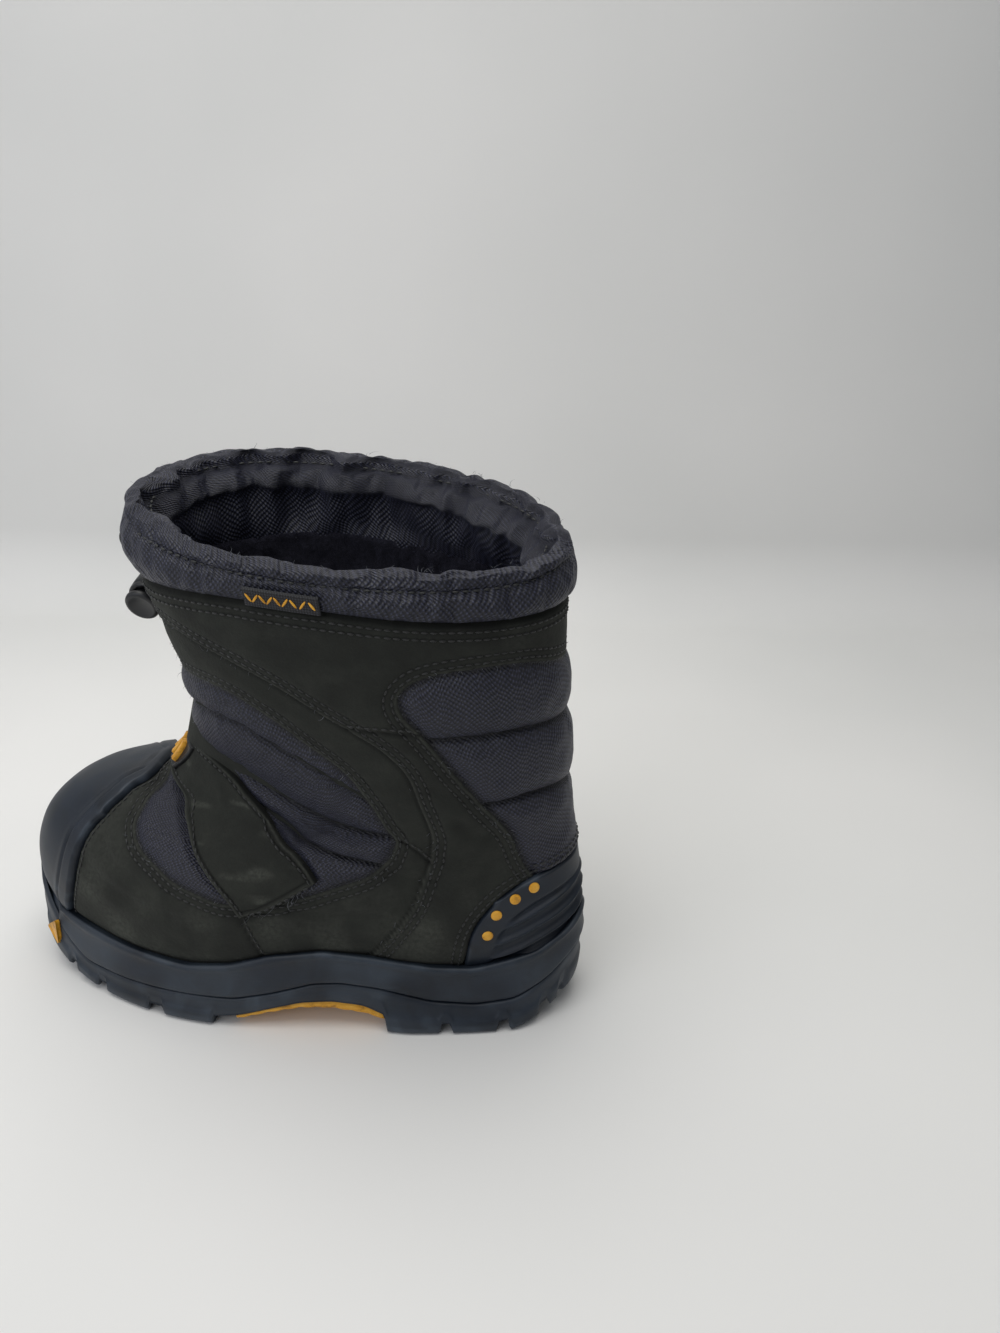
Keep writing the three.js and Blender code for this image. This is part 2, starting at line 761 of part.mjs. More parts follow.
// The drawcord's two ends come out of the tab, run through the lock and meet in a knot.
const cordEnds = [-1, 1];
const knotRadius = 3.2;

function lockPoint(side, along) {
  const hole = lockCentre.clone().addScaledVector(lockAxis, cordFromEnd - lockLength / 2);
  const through = new THREE.Vector3(1, 0, 0).cross(lockAxis);
  return hole.addScaledVector(lockAxis, -side * cordSpread).addScaledVector(through, along);
}

// Points of one cord end, from the tab out in a bow, then down through the lock.
function cordRoute(side) {
  return [
    new THREE.Vector3(-56.3, side * 2.6, 184.5),
    new THREE.Vector3(-58.6, side * 2.5, 184.2),
    new THREE.Vector3(-61.4, 0.6 + side * 2.2, 181.4),
    new THREE.Vector3(-61.2, 1.8 + side * 2, 177),
    new THREE.Vector3(-57.8, 2.8 + side * 1.8, 173),
    lockPoint(side, -9.6),
    lockPoint(side, -5),
    lockPoint(side, 0),
    lockPoint(side, lockRadius),
  ];
}

function makeCord(side) {
  const section = new THREE.Shape().absarc(0, 0, cordDiameter / 2, 0, Math.PI * 2);
  const path = new THREE.CatmullRomCurve3(cordRoute(side), false, 'centripetal');
  return new THREE.ExtrudeGeometry(section, { steps: 14, curveSegments: 4, extrudePath: path });
}

function makeKnot() {
  const knot = new THREE.SphereGeometry(1, 12, 8);
  knot.scale(knotRadius, knotRadius + 0.6, knotRadius);
  const centre = lockPoint(0, lockRadius + gap + knotRadius + 0.6);
  knot.translate(centre.x, centre.y, centre.z);
  return knot;
}

addPiece('upper', makeUpper(), leather);
addPiece('collar', makeCollar(), nylon);
addPiece('midsole', makeMidsole(), rubber);
addPiece('outsole', makeOutsole(), rubber);
addPiece('arch_insert', makeArchInsert(), yellow);
addPiece('insole', makeInsole(), foam);
addPiece('toe_cap', makeToeCap(), rubber);
addPiece('heel_counter', makeHeelCounter(), rubber);
addPiece('strap', band(strapEdges, 20, 4, strapGap, strapGap + strapThickness), leather);
addPiece('strap_anchor', band(anchorEdges, 5, 3, strapGap, strapGap + strapThickness), leather);
addPiece('strap_ring', makeRing(), hardPlastic);
addPiece('strap_badge', makeBadge(), yellow);
addPiece('cord_tab', makeCordTab(), leather);
addPiece('lock_barrel', makeLockBarrel(), hardPlastic);
addPiece('lock_button', makeLockButton(), hardPlastic);
addPiece('toe_plug_outer', plugPrism(1, 0), yellow);
addPiece('toe_plug_inner', plugPrism(-1, 0), yellow);
addPiece('cord_outer', makeCord(cordEnds[0]), foam);
addPiece('cord_inner', makeCord(cordEnds[1]), foam);
addPiece('cord_knot', makeKnot(), foam);

// The origin is under the middle of the boot's box.
const box = new THREE.Box3().setFromObject(boot);
boot.position.x = -(box.min.x + box.max.x) / 2;
boot.position.y = -(box.min.y + box.max.y) / 2;

export default boot;
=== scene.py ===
import math
import bpy
import numpy as np
from mathutils import Matrix, Vector


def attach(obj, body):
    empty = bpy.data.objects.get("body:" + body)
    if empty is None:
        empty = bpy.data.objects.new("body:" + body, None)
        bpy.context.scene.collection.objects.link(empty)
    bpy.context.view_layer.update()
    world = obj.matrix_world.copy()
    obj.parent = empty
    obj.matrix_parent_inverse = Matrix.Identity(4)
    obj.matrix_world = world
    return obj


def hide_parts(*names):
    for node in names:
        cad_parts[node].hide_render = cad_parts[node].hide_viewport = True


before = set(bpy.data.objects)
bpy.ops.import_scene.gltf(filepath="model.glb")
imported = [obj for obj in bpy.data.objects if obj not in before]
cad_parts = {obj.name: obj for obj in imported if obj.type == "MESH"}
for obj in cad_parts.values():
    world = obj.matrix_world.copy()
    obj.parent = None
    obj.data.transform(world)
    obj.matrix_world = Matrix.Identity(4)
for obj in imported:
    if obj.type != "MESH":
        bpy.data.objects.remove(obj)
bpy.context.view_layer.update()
scene = bpy.context.scene

# Lengths here are millimetres, turned to metres when a mesh is made. The last's own origin lies
# a little off the frame's, which is under the middle of the boot's box.
mm = 0.001
lastOrigin = np.array([1.846, -1.198, 0.0])

print("stage: camera")

view = {
    "place": (135.1, -315.9, 279.0),
    "right": (0.98381, 0.17854, 0.01572),
    "up": (-0.08457, 0.38508, 0.91900),
    "focal": 963,
    "pictureHigh": 1333,
    "sensor": 36,
}


def placeCamera():
    # columns of the camera's matrix are its right, its up and the way back from what it looks at
    data = bpy.data.cameras.new("camera")
    camera = bpy.data.objects.new("camera", data)
    scene.collection.objects.link(camera)
    right = Vector(view["right"]).normalized()
    back = right.cross(Vector(view["up"])).normalized()
    up = back.cross(right)
    turn = Matrix((right, up, back)).transposed().to_4x4()
    place = (np.array(view["place"]) + lastOrigin) * mm
    camera.matrix_world = Matrix.Translation(Vector(place)) @ turn
    data.sensor_fit = "VERTICAL"
    data.sensor_height = view["sensor"]
    data.lens = view["sensor"] * view["focal"] / view["pictureHigh"]
    data.clip_start = 0.01
    scene.camera = camera


placeCamera()

# the last, as in the model: the outside of the upper, one row for each level

last = {
    # height, back, front, heelHalf, outerHalf, innerHalf, toePower, heelPower, bend, waist
    "rows": np.array([
        [17, 106, -109, 30, 43, 40, 2.4, 2.3, 7, 5],
        [30, 110.5, -113.5, 33, 47, 45, 2.5, 2.3, 7, 5],
        [43, 111, -114.5, 34, 47.5, 45, 2.5, 2.3, 7, 4],
        [55, 110.5, -112.5, 34, 46, 44, 2.5, 2.3, 7, 3],
        [65, 109, -107, 33.5, 43, 42, 2.45, 2.25, 7, 2],
        [73, 108, -96, 33.5, 39, 39, 2.35, 2.2, 7, 1],
        [79, 107, -79, 33.5, 35, 36, 2.2, 2.2, 6, 0],
        [85, 106, -57, 33.5, 31, 32, 2.15, 2.15, 4, 0],
        [94, 105.5, -44.5, 34.5, 30, 31, 2.1, 2.15, 2, 0],
        [104, 105, -38.5, 36, 31, 32, 2.05, 2.1, 1, 0],
        [120, 104, -36.5, 38, 36, 36, 2.1, 2.1, 0, 0],
        [142, 102.5, -40, 41, 41, 41, 2.15, 2.1, 0, 0],
        [166, 101, -46, 43, 45, 44, 2.2, 2.15, 0, 0],
        [190, 102, -51, 45, 48, 48, 2.2, 2.2, 0, 0],
    ]),
    # height over x along the sole
    "footBed": [(-122, 27), (-95, 21), (-70, 16.5), (-45, 15.5), (-15, 18.5), (20, 22.5), (60, 23),
                (122, 24)],
    "feather": [(-122, 31), (-85, 29), (-60, 26.5), (-32, 25), (-15, 27.5), (0, 32.5), (20, 35), (38, 32.5),
                (60, 28), (76, 27), (98, 32), (108, 39), (116, 50)],
    "lip": [(-120, 47), (-112, 40), (-100, 28), (-90, 18), (-80, 11.8), (-60, 11.6), (-42, 12.6), (-14, 13.2),
            (0, 16.5), (16, 21.5), (27, 22), (41, 19.6), (60, 13.6), (77, 11.6), (91, 13), (101, 19.5),
            (111, 31), (117, 42)],
    "base": [(-122, 22), (-113, 15), (-101, 10.6), (-88, 7.4), (-76, 5.4), (-62, 4.6), (-23, 4.6), (-12, 6.2),
             (0, 10), (12, 13.4), (24, 14.2), (36, 12.4), (46, 8), (56, 5.4), (88, 5.4), (103, 9),
             (113, 14.5), (122, 24)],
    "ground": [(-122, 18), (-113, 11), (-101, 6), (-88, 2.8), (-76, 0.8), (-62, 0), (92, 0), (103, 3.6),
               (113, 9.6), (122, 18)],
    "toeSwing": 7,
    "spine": (-88, 86),
    # the waist's place, length and share on the inner side, along the foot from the heel; where it
    # widens to the ball and bends to the toe; and the heights between which the foot bed's curve fades
    "waistAt": 0.43, "waistLong": 0.17, "waistInner": 0.35, "widens": (0.12, 0.72), "bends": (0.45, 1),
    "fades": (17, 62),
}
# heights round the upper: a mean, its slope front to back or side to side, and two rises at the hips
cuffSeam = {"mean": 172, "slope": 2.2, "rise": 4, "riseAt": 75, "riseWide": 30}
cuffRim = {"mean": 198, "sideways": 8.5, "slope": 6.5}


def smooth(low, high, value):
    # eased step: three t squared less two t cubed
    t = np.clip((value - low) / (high - low), 0, 1)
    return t * t * (3 - 2 * t)


def bell(value, width):
    # 1 at nought, falling as e to the minus square of value over width
    return np.exp(-(value / width) ** 2)


def between(pair, share):
    # a straight step from the first to the second
    return pair[0] + (pair[1] - pair[0]) * share


def travelled(points):
    # distance along a line of points, from nought at the first
    return np.concatenate([[0], np.cumsum(np.linalg.norm(np.diff(points, axis=0), axis=1))])


def fullTurn(count):
    # angles of a whole turn, evenly spaced
    return np.linspace(0, 2 * math.pi, count, endpoint=False)


def readTable(rows, x, blur):
    # straight stretches between rows, their corners eased by the mean of five near readings
    table = np.array(rows, float)
    near = np.asarray(x, float)[..., None] + blur * np.array([-1, -0.5, 0, 0.5, 1])
    return np.interp(near, table[:, 0], table[:, 1]).mean(-1)


def over(name, x, blur=2.0):
    # height over x, from one of the last's tables
    return readTable(last[name], x, blur)


def sectionAt(level):
    # a cubic through the rows of the table, its slope at a row half the step between its neighbours
    rows = last["rows"]
    end = len(rows) - 1
    i = np.clip(np.floor(level).astype(int), 0, end - 1)
    f = (level - i)[..., None]
    p1, p2 = rows[i], rows[i + 1]
    p0 = np.where((i > 0)[..., None], rows[np.clip(i - 1, 0, end)], 2 * p1 - p2)
    p3 = np.where((i + 2 <= end)[..., None], rows[np.clip(i + 2, 0, end)], 2 * p2 - p1)
    m1, m2 = (p2 - p0) / 2, (p3 - p1) / 2
    made = (2 * f**3 - 3 * f**2 + 1) * p1 + (f**3 - 2 * f**2 + f) * m1 + (3 * f**2 - 2 * f**3) * p2
    return np.moveaxis(made + (f**3 - f**2) * m2, -1, 0)


def lastPoint(turn, level):
    # a round section with blunt ends: x and y are powers of the turn's cosine and sine, the width
    # eases from heel to ball, the toe bends inwards and the lowest levels follow the foot bed
    turn, level = np.broadcast_arrays(np.asarray(turn, float), np.asarray(level, float))
    height, back, front, heelHalf, outerHalf, innerHalf, toePower, heelPower, bend, waist = sectionAt(level)
    c, s = np.cos(turn), np.sin(turn)
    power = 2 / np.where(c > 0, heelPower, toePower)
    x = (back + front) / 2 + (back - front) / 2 * np.sign(c) * np.abs(c) ** power
    along = (back - x) / (back - front)
    arch = bell(along - last["waistAt"], last["waistLong"]) * waist * np.where(s >= 0, last["waistInner"], 1)
    ball = np.where(s >= 0, outerHalf, innerHalf)
    half = between((heelHalf, ball), smooth(*last["widens"], along)) - arch
    y = -np.sign(s) * half * np.abs(s) ** power + bend * smooth(*last["bends"], along)
    lift = (over("footBed", x) - last["rows"][0, 0]) * (1 - smooth(*last["fades"], height))
    return np.stack([x, y, height + lift], -1)


def unit(v):
    # a direction: the vector over its own length
    return v / (np.linalg.norm(v, axis=-1, keepdims=True) + 1e-12)


def lastNormal(turn, level, step=0.01):
    # cross product of the step up and the step round
    ahead = lastPoint(turn + step, level) - lastPoint(turn - step, level)
    rise = lastPoint(turn, level + step) - lastPoint(turn, np.maximum(level - step, 0))
    return unit(np.cross(rise, ahead))


def levelAt(turn, height):
    # halves the range of levels until the surface is at that height
    turn, height = np.broadcast_arrays(np.asarray(turn, float), np.asarray(height, float))
    low, high = np.zeros_like(height), np.full_like(height, len(last["rows"]) - 1.0)
    for _ in range(22):
        middle = (low + high) / 2
        below = lastPoint(turn, middle)[..., 2] < height
        low, high = np.where(below, middle, low), np.where(below, high, middle)
    return (low + high) / 2


def onLast(turn, height):
    # point and outward direction at a turn in degrees (0 heel, 90 outer side, 180 toe) and a height
    turn = np.radians(turn)
    level = levelAt(turn, height)
    return lastPoint(turn, level), lastNormal(turn, level)


def wallPoint(turn, height, out):
    # a point level with its height, moved out sideways; under the widest part the wall drops straight
    turn = np.radians(turn)
    level = np.maximum(levelAt(turn, height), 1)
    outward = lastNormal(turn, level)
    outward[..., 2] = 0
    made = lastPoint(turn, level) + unit(outward) * np.asarray(out, float)[..., None]
    made[..., 2] = height
    return made


def spinePoint(x, height):
    # the sole's middle line, clamped to its two ends and swung with the toe
    x = np.clip(x, *last["spine"])
    y = last["toeSwing"] * smooth(0, 1, x / last["spine"][0])
    return np.stack(np.broadcast_arrays(x, y, height(x)), -1)


def evenTurns(count, height=32):
    # turns in degrees, the same distance apart along the outside at that height
    turn = np.linspace(0, 360, 1441)
    arc = travelled(wallPoint(turn, height + 0 * turn, 0 * turn))
    return np.interp(np.arange(count) / count * arc[-1], arc, turn)


def seamHeight(turn):
    # the seam under the cuff: a mean less a cosine, with a bell over each hip
    hips = bell(np.abs(180 - turn) - cuffSeam["riseAt"], cuffSeam["riseWide"])
    return cuffSeam["mean"] - cuffSeam["slope"] * np.cos(np.radians(turn)) + cuffSeam["rise"] * hips


def rimHeight(turn):
    # the cuff's rim: a mean less a sine and a cosine of the turn
    angle = np.radians(turn)
    return cuffRim["mean"] - cuffRim["sideways"] * np.sin(angle) - cuffRim["slope"] * np.cos(angle)


def soleHeight(name, turn):
    # a height of the sole's wavy edges, read where the wall stands at that turn
    return over(name, wallPoint(turn, 30 + 0 * turn, 0 * turn)[..., 0])


featherHeight = lambda turn: soleHeight("feather", turn)
lipHeight = lambda turn: soleHeight("lip", turn)


def patches(points, size, seed):
    # smooth random values from -1 to 1: a number hashed for each corner of a cell, blended by eased weights
    p = np.asarray(points, float) / size
    cell = np.floor(p).astype(np.int64)
    f = p - cell
    f = f * f * (3 - 2 * f)
    total = np.zeros(p.shape[:-1])
    for corner in np.ndindex(*(2,) * p.shape[-1]):
        c = cell + np.array(corner)
        key = seed * 7919 + np.zeros(p.shape[:-1], np.int64)
        for axis, prime in zip(range(p.shape[-1]), (73856093, 19349663, 83492791)):
            key = key ^ (c[..., axis] * prime)
        key = ((key ^ (key >> 13)) * 1274126177) & 0xFFFFFFF
        key = ((key ^ (key >> 15)) * 668265263) & 0xFFFFFF
        weight = np.where(np.array(corner) == 1, f, 1 - f).prod(-1)
        total += weight * (key / 0xFFFFFF * 2 - 1)
    return total



def weld(points, faces, uv, layers):
    # points in one place become one; a quad that loses a corner becomes a triangle, or goes
    _, first, number = np.unique(np.round(points, 3), axis=0, return_index=True, return_inverse=True)
    number = number.ravel()
    quads, triangles = [], []
    for f, u in zip(faces, uv):
        f = number[f]
        same = f == np.roll(f, -1, axis=1)
        if f.shape[1] == 4:
            keep = same.sum(1) == 0
            quads.append((f[keep], u[keep]))
            one = np.nonzero(same.sum(1) == 1)[0]
            turn = (same[one].argmax(1)[:, None] + 1 + np.arange(3)) % 4
            triangles.append((f[one[:, None], turn], u[one[:, None], turn]))
        else:
            triangles.append((f[same.sum(1) == 0], u[same.sum(1) == 0]))
    kept = [group for group in (quads, triangles) if sum(len(f) for f, _ in group)]
    faces = [np.concatenate([f for f, _ in group]) for group in kept]
    uv = [np.concatenate([u for _, u in group]) for group in kept]
    return points[first], faces, uv, {k: v.ravel()[first] for k, v in (layers or {}).items()}


def putMesh(name, points, faces, material, body="boot", slot=None, layers=None, uv=None, welded=False):
    # faces is a list of whole arrays of quads or triangles; a closed shape whose volume comes out
    # negative has its faces turned round; uv is one array for each array of faces
    points = np.asarray(points, float).reshape(-1, 3)
    if welded:
        points, faces, uv, layers = weld(points, faces, uv, layers)
    fan = np.concatenate([f[:, [0, k, k + 1]] for f in faces for k in range(1, f.shape[1] - 1)])
    a, b, c = (points[fan[:, k]] for k in range(3))
    if np.einsum("ij,ij->i", a, np.cross(b, c)).sum() < 0:
        faces = [f[:, ::-1] for f in faces]
        uv = None if uv is None else [u[:, ::-1] for u in uv]
    mesh = bpy.data.meshes.new(name)
    mesh.vertices.add(len(points))
    mesh.vertices.foreach_set("co", ((points + lastOrigin) * mm).astype(np.float32).ravel())
    loops = np.concatenate([f.ravel() for f in faces])
    sides = np.concatenate([np.full(len(f), f.shape[1]) for f in faces])
    mesh.loops.add(len(loops))
    mesh.loops.foreach_set("vertex_index", loops.astype(np.int32))
    mesh.polygons.add(len(sides))
    mesh.polygons.foreach_set("loop_start", (np.cumsum(sides) - sides).astype(np.int32))
    mesh.polygons.foreach_set("use_smooth", np.ones(len(sides), bool))
    for key, values in (layers or {}).items():
        layer = mesh.attributes.new(key, "FLOAT", "POINT")
        layer.data.foreach_set("value", values.astype(np.float32).ravel())
    if uv is not None:
        flatUv = np.concatenate([u.reshape(-1, 2) for u in uv]) * mm
        mesh.uv_layers.new(name="cloth").data.foreach_set("uv", flatUv.astype(np.float32).ravel())
    mesh.update(calc_edges=True)
    mesh.validate()
    made = bpy.data.objects.new(name, mesh)
    scene.collection.objects.link(made)
    mesh.materials.append(material)
    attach(made, body)
    return made


def gridQuads(n, m, around, loop, start=0):
    # corner numbers of an n by m grid's quads; around joins its last column to the first, loop its rows
    i, j = np.meshgrid(np.arange(n if around else n - 1), np.arange(m if loop else m - 1), indexing="ij")
    i, j = i.ravel(), j.ravel()
    corners = [(i, j), (i, j + 1), (i + 1, j + 1), (i + 1, j)]
    return start + np.stack([(a % n) * m + b % m for a, b in corners], 1), corners


def arcUv(points, around):
    # cloth coordinates: distance travelled round and distance travelled up, in millimetres
    n, m = points.shape[:2]
    wide = np.concatenate([points, points[:1]]) if around else points
    stepU, stepV = (np.linalg.norm(np.diff(wide, axis=k), axis=2) for k in (0, 1))
    u = np.concatenate([np.zeros((1, m)), np.cumsum(stepU, 0)])
    v = np.concatenate([np.zeros((len(wide), 1)), np.cumsum(stepV, 1)], 1)
    return np.stack([u, v], -1)


def sweepMesh(name, points, material, around=True, loop=True, **more):
    # points[i, j] is point j of profile i; open ends of the profiles are joined across at both ends
    n, m = points.shape[:2]
    quads, corners = gridQuads(n, m, around, loop)
    wide = arcUv(points, around)
    closed = np.concatenate([wide, wide[:, -1:] + [0, 1]], 1) if loop else wide
    uv = [np.stack([closed[a, b] for a, b in corners], 1)]
    faces = [quads]
    if not around:
        j = np.arange(m // 2 - 1)
        cap = np.stack([j, m - 1 - j, m - 2 - j, j + 1], 1)
        finish = (n - 1) * m + np.stack([j, j + 1, m - 2 - j, m - 1 - j], 1)
        faces.append(np.concatenate([cap, finish]))
        uv.append(np.zeros((len(faces[1]), 4, 2)))
    return putMesh(name, points, faces, material, uv=uv, **more)


def slabMesh(name, outer, inner, material, **more):
    # two grids of the same size, one over the other, joined round their four edges
    n, m = outer.shape[:2]
    top, corners = gridQuads(n, m, False, False)
    head, foot = (n - 1) * m + np.arange(m - 2, -1, -1), np.arange(n - 2, 0, -1) * m
    edge = np.concatenate([np.arange(m), np.arange(1, n) * m + m - 1, head, foot])
    turned = np.roll(edge, -1)
    rim = np.stack([edge, turned, turned + n * m, edge + n * m], 1)
    wide = arcUv(outer, False)
    flat = np.stack([wide[a, b] for a, b in corners], 1)
    rimUv = wide.reshape(-1, 2)[np.stack([edge, turned, turned, edge], 1)]
    faces = [top, top[:, ::-1] + n * m, rim[:, ::-1]]
    layers = more.pop("layers", None)
    if layers:
        layers = {k: np.concatenate([v.ravel(), v.ravel()]) for k, v in layers.items()}
    both = np.concatenate([outer.reshape(-1, 3), inner.reshape(-1, 3)])
    uv = [flat, flat[:, ::-1], rimUv[:, ::-1]]
    return putMesh(name, both, faces, material, uv=uv, layers=layers, **more)


def manyMesh(name, shape, shapeFaces, places, axes, material, **more):
    # one small shape repeated: its points times three axes, one set for each place
    count, size = len(places), len(shape)
    points = np.einsum("sk,nkd->nsd", shape, axes) + places[:, None]
    faces = [(f[None] + (np.arange(count) * size)[:, None, None]).reshape(-1, f.shape[1]) for f in shapeFaces]
    return putMesh(name, points.reshape(-1, 3), faces, material, **more)


def lathePoints(outline, steps=48):
    # radius and height turned about the local z axis; the first and last rows are poles
    angle = fullTurn(steps)
    outline = np.asarray(outline, float)
    ring = np.stack([np.cos(angle), np.sin(angle)], 1)
    body = np.concatenate([outline[None, 1:-1, :1] * ring[:, None], np.broadcast_to(
        outline[None, 1:-1, 1:], (steps, len(outline) - 2, 1))], 2)
    points = np.concatenate([body.reshape(-1, 3), [[0, 0, outline[0, 1]], [0, 0, outline[-1, 1]]]])
    m = len(outline) - 2
    quads, _ = gridQuads(steps, m, True, False)
    i = np.arange(steps)
    k = (i + 1) % steps
    low = np.stack([i * m, k * m, np.full(steps, steps * m)], 1)
    high = np.stack([k * m + m - 1, i * m + m - 1, np.full(steps, steps * m + 1)], 1)
    return points, [quads, low, high]


def ballPoints(rings=5, sides=8):
    # a ball of rings: radius sine, height cosine of the angle from the pole
    angle = np.linspace(0, math.pi, rings + 2)
    return lathePoints(np.stack([np.sin(angle), -np.cos(angle)], 1), sides)


def roundEdge(distance, radius):
    # quarter circle from the edge up to full thickness
    t = 1 - np.clip(distance / radius, 0, 1)
    return np.sqrt(np.maximum(1 - t * t, 0))


def edgeSteps(count):
    # steps from 0 to 1 that crowd at both ends
    t = np.linspace(0, 1, count)
    return 0.45 * t + 0.55 * (0.5 - 0.5 * np.cos(math.pi * t))


def linear(code):
    # sRGB hex to linear colour
    values = [int(code[k:k + 2], 16) / 255 for k in (1, 3, 5)]
    return [v / 12.92 if v <= 0.04045 else ((v + 0.055) / 1.055) ** 2.4 for v in values] + [1]


def perMetre(millimetres):
    # a noise's scale: how many grains of that size go into a metre
    return 1 / (millimetres * mm)


def node(tree, kind, values):
    # adds a node with its settings and links: a key is an input's name or number, a property of the
    # node, or a ramp's stops; a node or (node, output) is linked, and hex text on an input is a colour
    made = tree.nodes.new("ShaderNode" + kind)
    for key, value in values.items():
        source, output = value if isinstance(value, tuple) and len(value) == 2 else (value, 0)
        if isinstance(source, bpy.types.Node):
            tree.links.new(source.outputs[output], made.inputs[key])
        elif key == "stops":
            while len(made.color_ramp.elements) < len(value):
                made.color_ramp.elements.new(0.5)
            for element, (place, code) in zip(made.color_ramp.elements, value):
                element.position = place
                element.color = linear(code)
        elif isinstance(key, int) or key in made.inputs:
            made.inputs[key].default_value = linear(value) if isinstance(value, str) else value
        else:
            setattr(made, key, value)
    return made


nubuck = {
    # crevice is the colour of the painted shade in the seams, the stitch rows and along the edges
    "dark": "#222320", "body": "#282a26", "pale": "#31332e", "worn": "#53554e", "crevice": "#0b0c0a",
    "speck": "#171915", "tint": "#8c8f86", "nap": 0.5, "cloud": 16, "pore": 1.6, "rough": 0.88, "ior": 1.45,
}


def nubuckShader(tree):
    # Nubuck: hide buffed to a short nap. It looks chalky and soft, clouded where the nap has been
    # brushed each way, and greyer on worn edges.
    place = (node(tree, "TexCoord", {}), "Object")
    cloud = node(tree, "TexNoise", {"Vector": place, "Scale": perMetre(nubuck["cloud"]), "Detail": 5,
                                    "Roughness": 0.62, "Distortion": 0.4})
    nap = node(tree, "TexNoise", {"Vector": place, "Scale": perMetre(nubuck["nap"]), "Detail": 2,
                                  "Roughness": 0.7})
    pore = node(tree, "TexNoise", {"Vector": place, "Scale": perMetre(nubuck["pore"]), "Detail": 4,
                                   "Roughness": 0.6})
    body = node(tree, "ValToRGB", {0: cloud, "stops": [
        (0.3, nubuck["dark"]), (0.5, nubuck["body"]), (0.72, nubuck["pale"])]})
    half = node(tree, "Math", {"operation": "MULTIPLY", 0: nap, 1: 0.5})
    speck = node(tree, "Mix", {"data_type": "RGBA", "blend_type": "MULTIPLY", 0: half, 6: body,
                               7: nubuck["speck"]})
    worn = (node(tree, "Attribute", {"attribute_name": "wear"}), "Fac")
    patchy = node(tree, "Math", {"operation": "MULTIPLY_ADD", 0: pore, 1: 1.6, 2: -0.35})
    share = node(tree, "Math", {"operation": "MULTIPLY", "use_clamp": True, 0: worn, 1: patchy})
    rubbed = node(tree, "Mix", {"data_type": "RGBA", 0: share, 6: (speck, 2), 7: nubuck["worn"]})
    # painted shade: seams, stitch rows and edges are darkened towards the crevice colour by the layer of that
    # name
    seam = (node(tree, "Attribute", {"attribute_name": "crevice"}), "Fac")
    colour = node(tree, "Mix", {"data_type": "RGBA", 0: seam, 6: (rubbed, 2), 7: nubuck["crevice"]})
    fine = node(tree, "Bump", {"Height": nap, "Distance": 0.12 * mm, "Strength": 0.7})
    grain = node(tree, "Bump", {"Height": pore, "Distance": 0.35 * mm, "Strength": 0.6, "Normal": fine})
    return node(tree, "BsdfPrincipled", {
        "Base Color": (colour, 2), "Normal": grain, "Roughness": nubuck["rough"], "IOR": nubuck["ior"],
        "Specular IOR Level": 0.35, "Sheen Weight": 0.14, "Sheen Roughness": 0.5,
        "Sheen Tint": nubuck["tint"],
    })


nylon = {
    # thread spacing is about 0.75 mm on the real cloth, drawn at 0.95 mm so that the weave shows
    # the ramp from dark to light mixes the yarn's own tone with painted highlight on the raised threads and
    # painted shade in the hollows; crevice is painted shade along the quilting and the edges
    "thread": 0.95, "dark": "#0b0c14", "body": "#1b1c2a", "light": "#474a60", "dust": "#2a2b37",
    "crevice": "#07070b", "tint": "#8c90b4", "waver": 3.0, "yarn": 0.55, "cloud": 22, "rough": 0.5,
    "ior": 1.53,
}


